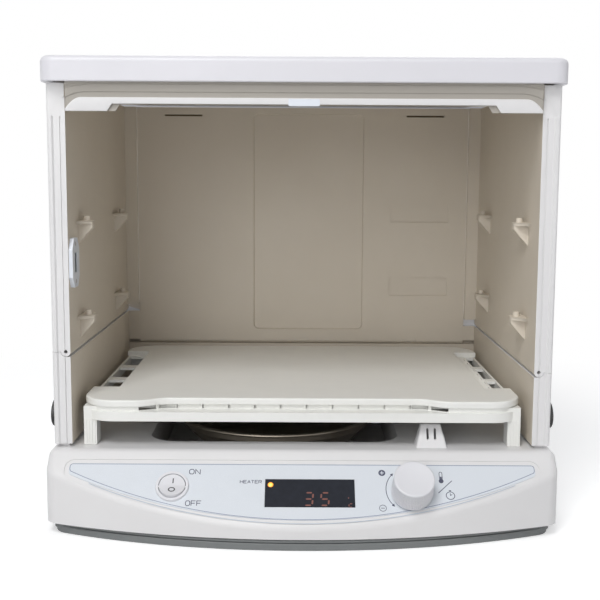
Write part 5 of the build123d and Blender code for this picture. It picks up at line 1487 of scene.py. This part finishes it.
@dataclass
class FrontBeam:
    """The beam under the lid's front: bent steps painted grey for the shade under the lid's overhang, a white
    lip with two tabs, and plates behind them in the same painted shade.
    """

    half: float = 195.8
    top: float = 379.5
    bottom: float = 359.8
    tab_bottom: float = 353.8
    tab_inner: float = 161.5
    slant: float = 4.0
    back: float = 1.3
    end_steps: int = 20
    end_pitch: float = 1.3
    plate_reach: float = 6.6
    plate_front: float = 2.5
    plate_rise: float = 4.0
    rows: tuple[BeamRow, ...] = (
        BeamRow(379.5, 6.2, 25, 0.0), BeamRow(377.7, 6.2, 25, 3.0), BeamRow(377.3, 5.4, 25, 3.2),
        BeamRow(375.7, 4.9, 25, 3.6), BeamRow(375.3, 5.5, 25, 3.7), BeamRow(374.9, 5.5, 25, 3.8),
        BeamRow(369.7, 4.5, 18, 4.5), BeamRow(369.3, 3.8, 18, 4.6), BeamRow(368.9, 3.7, 18, 4.7),
        BeamRow(365.1, 3.7, 13, 8.9), BeamRow(364.8, 4.6, 13, 9.1), BeamRow(364.4, 4.9, 13, 9.2),
    )
    lip_rows: tuple[Point2, ...] = ((0.8, 4.9), (0.25, 4.7), (0.0, 4.2))

    def build(self) -> None:
        """Make the beam and the plate behind its tabs."""
        shape = bmesh.new()
        join_rings(shape, [self._section(x) for x in self._stations()])
        lip = len(self.rows) - 3
        count = len(self.rows) + len(self.lip_rows) + 2
        # The steps get the grey of painted shade, the lip the shell's white.
        for index, face in enumerate(shape.faces):
            face.material_index = int(lip <= index % count < count - 3)
        beam = new_piece("beam", shape, "lid", "lining_grey", Finish.BEAM, Finish.SHELL)
        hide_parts("front_beam")
        self._plates()

    def _plates(self) -> None:
        """The plates behind the two tabs, grey with the beam's painted shade."""
        shape = bmesh.new()
        end, inner, foot = self.half - 1, self.tab_inner - self.plate_reach, self.tab_bottom + 0.2
        knee, rise = inner - self.slant, self.bottom + self.plate_rise
        outline = [(end, foot), (inner, foot), (knee, self.bottom + 0.2), (knee, rise), (end, rise)]
        near, far = FRONT_Y - self.plate_front * MM, FRONT_Y - (self.back - 0.1) * MM
        for side in (-1, 1):
            prism(shape, [(side * x * MM, z * MM) for x, z in outline], near, far)
        new_piece("tab_plates", shape, "lid", "lining_grey", Finish.BEAM, smooth=False)

    def _stations(self) -> list[float]:
        """The places across at which the beam's section is taken."""
        ends = [self.half - self.end_pitch * step for step in range(self.end_steps)]
        knee = [self.tab_inner + past for past in (0.8, 0.2, -0.5)]
        knee += [self.tab_inner - self.slant + past for past in (0.5, -0.2, -0.8)]
        right = sorted([*ends, *knee, 120.0, 60.0, 20.0])
        return [-x for x in reversed(right)] + right

    def _section(self, across: float) -> list[Vector]:
        """The beam's closed section.

        Args:
            across: How far across it is taken, in millimetres.

        Returns:
            The section's points.
        """
        reach = abs(across)
        low = min(max((reach - (self.tab_inner - self.slant)) / self.slant, 0.0), 1.0)
        bottom = self.bottom + (self.tab_bottom - self.bottom) * low
        spots = []
        for row in self.rows:
            bend = max(0.0, (reach - (self.half - row.run)) / row.run) ** 2
            spots.append((row.forward, row.height - row.drop * bend))
        spots += [(forward, bottom + above) for above, forward in self.lip_rows]
        spots += [(self.back, bottom), (self.back, self.top)]
        return [Vector((across * MM, FRONT_Y - forward * MM, height * MM)) for forward, height in spots]


@dataclass
class SlattedTray:
    """The tray that covers the pan."""

    rim_height: float = 102.7 * MM
    frame_height: float = 96 * MM
    rim_half: float = 176 * MM
    half_steps: int = 44
    neck_steps: int = 10
    backing: float = 2.2 * MM
    thickness: float = 0.8 * MM
    below: float = 2.2 * MM
    above: float = 2.3 * MM
    ray_start: float = 60 * MM

    def build(self) -> None:
        """Make the tray with soft edges."""
        SoftCopy("slatted_tray", "tray", "tray_white", 0.4 * MM, 4 * MM).build(Finish.TRAY)
        self._rim_backing()

    def _rim_backing(self) -> None:
        """The strip behind the rim's cells, which closes their slits a little way in."""
        tree = surface_tree("slatted_tray")

        def face(across: float, height: float) -> float:
            """How far back the tray's front face is at one place."""
            hit, _, _, _ = tree.ray_cast(Vector((across, FRONT_Y - self.ray_start, height)), Vector((0, 1, 0)))
            return hit.y

        middle = self.half_steps
        places = [self.rim_half * step / middle for step in range(-middle, middle + 1)]
        neck = places[middle - self.neck_steps:middle + self.neck_steps + 1]
        set_back = min(face(x, self.rim_height) - face(x, self.frame_height) for x in neck)
        low, high = self.rim_height - self.below, self.rim_height + self.above
        rows = []
        for across in places:
            front = face(across, self.frame_height) + set_back + self.backing
            back = front + self.thickness
            section = ((front, high), (front, low), (back, low), (back, high))
            rows.append([Vector((across, y, z)) for y, z in section])
        shape = bmesh.new()
        join_rings(shape, rows)
        new_piece("rim_backing", shape, "tray", "tray_white", Finish.TRAY)


@dataclass
class WaterPan:
    """The spun pan in the well. Sizes are in millimetres."""

    rim: float = 95.0
    flat: float = 90.0
    floor: float = 70.0
    skin: float = 0.8
    rim_z: float = 72.4
    floor_z: float = 44.0
    turns: int = 128

    def build(self) -> None:
        """Make the pan with a rolled rim and a rounded wall."""
        low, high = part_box("water_pan")
        centre = ((low.x + high.x) / 2, (low.y + high.y) / 2)
        # Painted shade: the pan's metal is brown-grey, darker than bare metal, for the shade in the well under
        # the tray; brown blotches are mixed in at half strength.
        metal = WornMetal("spun pan metal, painted shade", shown(150, 142, 130), (0.42, 0.58), centre, shown(100, 90, 76), 0.5)
        shape = bmesh.new()
        rows = [
            [Vector((x, y, height * MM)) for x, y in circle(centre, radius * MM, self.turns)]
            for radius, height in self._section()
        ]
        join_rings(shape, rows, Ends.OPEN)
        pan = new_piece("spun_pan", shape, "base", "pan_metal", metal)
        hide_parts("water_pan")

    def _section(self) -> list[Point2]:
        """The pan's section, from the floor's middle up inside and back down outside."""
        rim, flat, floor, rim_z = self.rim, self.flat, self.floor, self.rim_z
        well_z, top_z, wall = self.floor_z + self.skin, rim_z + self.skin, flat - self.skin
        inside = [(0.0, well_z), (floor - 8, well_z)]
        inside += [(floor - 8 + 8 * math.sin(a), well_z + 6 * (1 - math.cos(a))) for a in (0.4, 0.8, 1.1)]
        inside += [(wall, rim_z - 7), (wall, rim_z - 1.2), (flat - 0.3, rim_z + 0.5), (flat + 0.8, top_z)]
        roll = [(rim - 1.2, top_z), (rim - 0.3, rim_z + 0.4), (rim, rim_z - 0.6), (rim - 0.5, rim_z - 1.6)]
        roll += [(rim - 1.3, rim_z - 1.4), (rim - 1.6, rim_z)]
        outside = [(flat + 0.4, rim_z), (flat, rim_z - 1.2), (flat, rim_z - 7.2)]
        outside += [(floor + 4, self.floor_z + 5.4), (floor - 2, self.floor_z + 1.0)]
        outside += [(floor - 8, self.floor_z), (0.0, self.floor_z)]
        return inside + roll + outside


# ---------------------------------------------------------------- studio
@dataclass(frozen=True)
class Lamp:
    """One soft square light: where it stands, how wide it is and its power in watts."""

    name: str
    place: tuple[float, float, float]
    size: float
    power: float


@dataclass
class Studio:
    """The plain floor, soft lights and the camera."""

    lens: float = 60.06
    sensor: float = 36.0
    eye: tuple[float, float, float] = (-4.0, -837.6, 302.4)
    pitch: float = 7.1
    yaw: float = -0.1
    roll: float = 0.3
    aim: tuple[float, float, float] = (0.0, 0.0, 0.2)
    lamps: tuple[Lamp, ...] = (
        Lamp("key", (-0.5, -1.45, 2.05), 0.9, 26.0),
        Lamp("front", (-0.7, -2.3, 1.0), 1.2, 16.5),
        Lamp("right", (2.0, -0.6, 1.0), 1.6, 4.0),
        Lamp("rear", (0.4, 2.2, 1.6), 2.0, 18.0),
    )
    room_tone: Colour = (0.93, 0.95, 1.0)
    room_level: float = 0.26
    floor_radius: float = 6.0
    floor_tone: Colour = (0.82, 0.82, 0.82)
    floor_glow: float = 0.42
    floor_fade: Point2 = (0.42, 0.85)

    def build(self) -> None:
        """Place the camera, the lights, the world and the floor."""
        bpy.context.scene.view_settings.view_transform = "Standard"
        self._camera()
        for lamp in self.lamps:
            self._light(lamp)
        self._world()
        self._floor()

    @staticmethod
    def _put(name: str, data: bpy.types.ID, place: Matrix) -> bpy.types.Object:
        """Put a camera, a light or a mesh into the scene.

        Args:
            name: The new object's name.
            data: What it shows.
            place: Where it stands and how it is turned.

        Returns:
            The object.
        """
        item = bpy.data.objects.new(name, data)
        item.matrix_world = place
        bpy.context.scene.collection.objects.link(item)
        return item

    def _camera(self) -> None:
        """The camera, level-turned by yaw, then pitched down and rolled."""
        data = bpy.data.cameras.new("camera")
        data.lens, data.sensor_width, data.sensor_fit = self.lens, self.sensor, "HORIZONTAL"
        place = Matrix.Translation(Vector(self.eye) * MM + Vector((0, FRONT_Y, 0)))
        for angle, axis in ((self.yaw, "Z"), (90 - self.pitch, "X"), (self.roll, "Z")):
            place = place @ Matrix.Rotation(math.radians(angle), 4, axis)
        bpy.context.scene.camera = self._put("camera", data, place)

    def _light(self, lamp: Lamp) -> None:
        """One soft area light that looks at the object.

        Args:
            lamp: Which one.
        """
        data = bpy.data.lights.new(lamp.name, "AREA")
        data.shape, data.size, data.energy = "SQUARE", lamp.size, lamp.power
        way = Vector(self.aim) - Vector(lamp.place)
        turn = way.to_track_quat("-Z", "Y").to_matrix().to_4x4()
        self._put(lamp.name, data, Matrix.Translation(Vector(lamp.place)) @ turn)

    @staticmethod
    def _white_for_camera(
        graph: Graph, lit: bpy.types.NodeSocket, white: bpy.types.NodeSocket
    ) -> bpy.types.NodeSocket:
        """White where the camera, a mirror or glass sees it, and the plain shader for light.

        Args:
            graph: The tree that it goes into.
            lit: The shader for light.
            white: The shader that is seen.

        Returns:
            The mixed shader.
        """
        rays = graph.add("LightPath").outputs
        seen = graph.math("ADD", rays["Is Camera Ray"], rays["Is Transmission Ray"])
        seen = graph.math("MINIMUM", graph.math("ADD", seen, rays["Is Glossy Ray"]), 1.0)
        return graph.add("MixShader", {0: seen, 1: lit, 2: white}).outputs[0]

    def _world(self) -> None:
        """A soft grey room that shows as white."""
        world = bpy.data.worlds.new("studio")
        graph = emptied(world)
        soft = graph.add("Background", {"Color": self.room_tone, "Strength": self.room_level})
        white = graph.add("Background", {"Color": (1, 1, 1), "Strength": 1.0})
        sky = self._white_for_camera(graph, soft.outputs[0], white.outputs[0])
        graph.add("OutputWorld", {"Surface": sky})
        bpy.context.scene.world = world

    def _floor(self) -> None:
        """A wide pale floor that keeps the object's shadow and fades to white."""
        shape = bmesh.new()
        bmesh.ops.create_circle(shape, cap_ends=True, segments=64, radius=self.floor_radius)
        mesh = bpy.data.meshes.new("floor")
        shape.to_mesh(mesh)
        shape.free()
        material = bpy.data.materials.new("floor")
        graph = emptied(material)
        pale = graph.add("BsdfDiffuse", {"Color": self.floor_tone}).outputs[0]
        glow = graph.add("Emission", {"Color": (1, 1, 1), "Strength": self.floor_glow}).outputs[0]
        lifted = graph.add("AddShader", {0: pale, 1: glow}).outputs[0]
        white = graph.add("Emission", {"Color": (1, 1, 1), "Strength": 1.0}).outputs[0]
        away = graph.distance(Vector((0, 0, 0)))
        fade = graph.add("MixShader", {0: graph.remap(away, self.floor_fade), 1: lifted, 2: white}).outputs[0]
        graph.add("OutputMaterial", {"Surface": self._white_for_camera(graph, pale, fade)})
        mesh.materials.append(material)
        self._put("floor", mesh, Matrix.Identity(4))


def main() -> None:
    """Build every sub-assembly in order."""
    logging.basicConfig(level=logging.INFO, format="%(name)s: %(message)s")
    for part in (
        BaseUnit(), Chamber(), Lid(), FrontBeam(), SlattedTray(), WaterPan(), ControlPanel(), SettingKnob(),
        PowerSwitch(), Studio(),
    ):
        part.build()
        LOG.info("built %s", type(part).__name__)


if __name__ == "__main__":
    main()
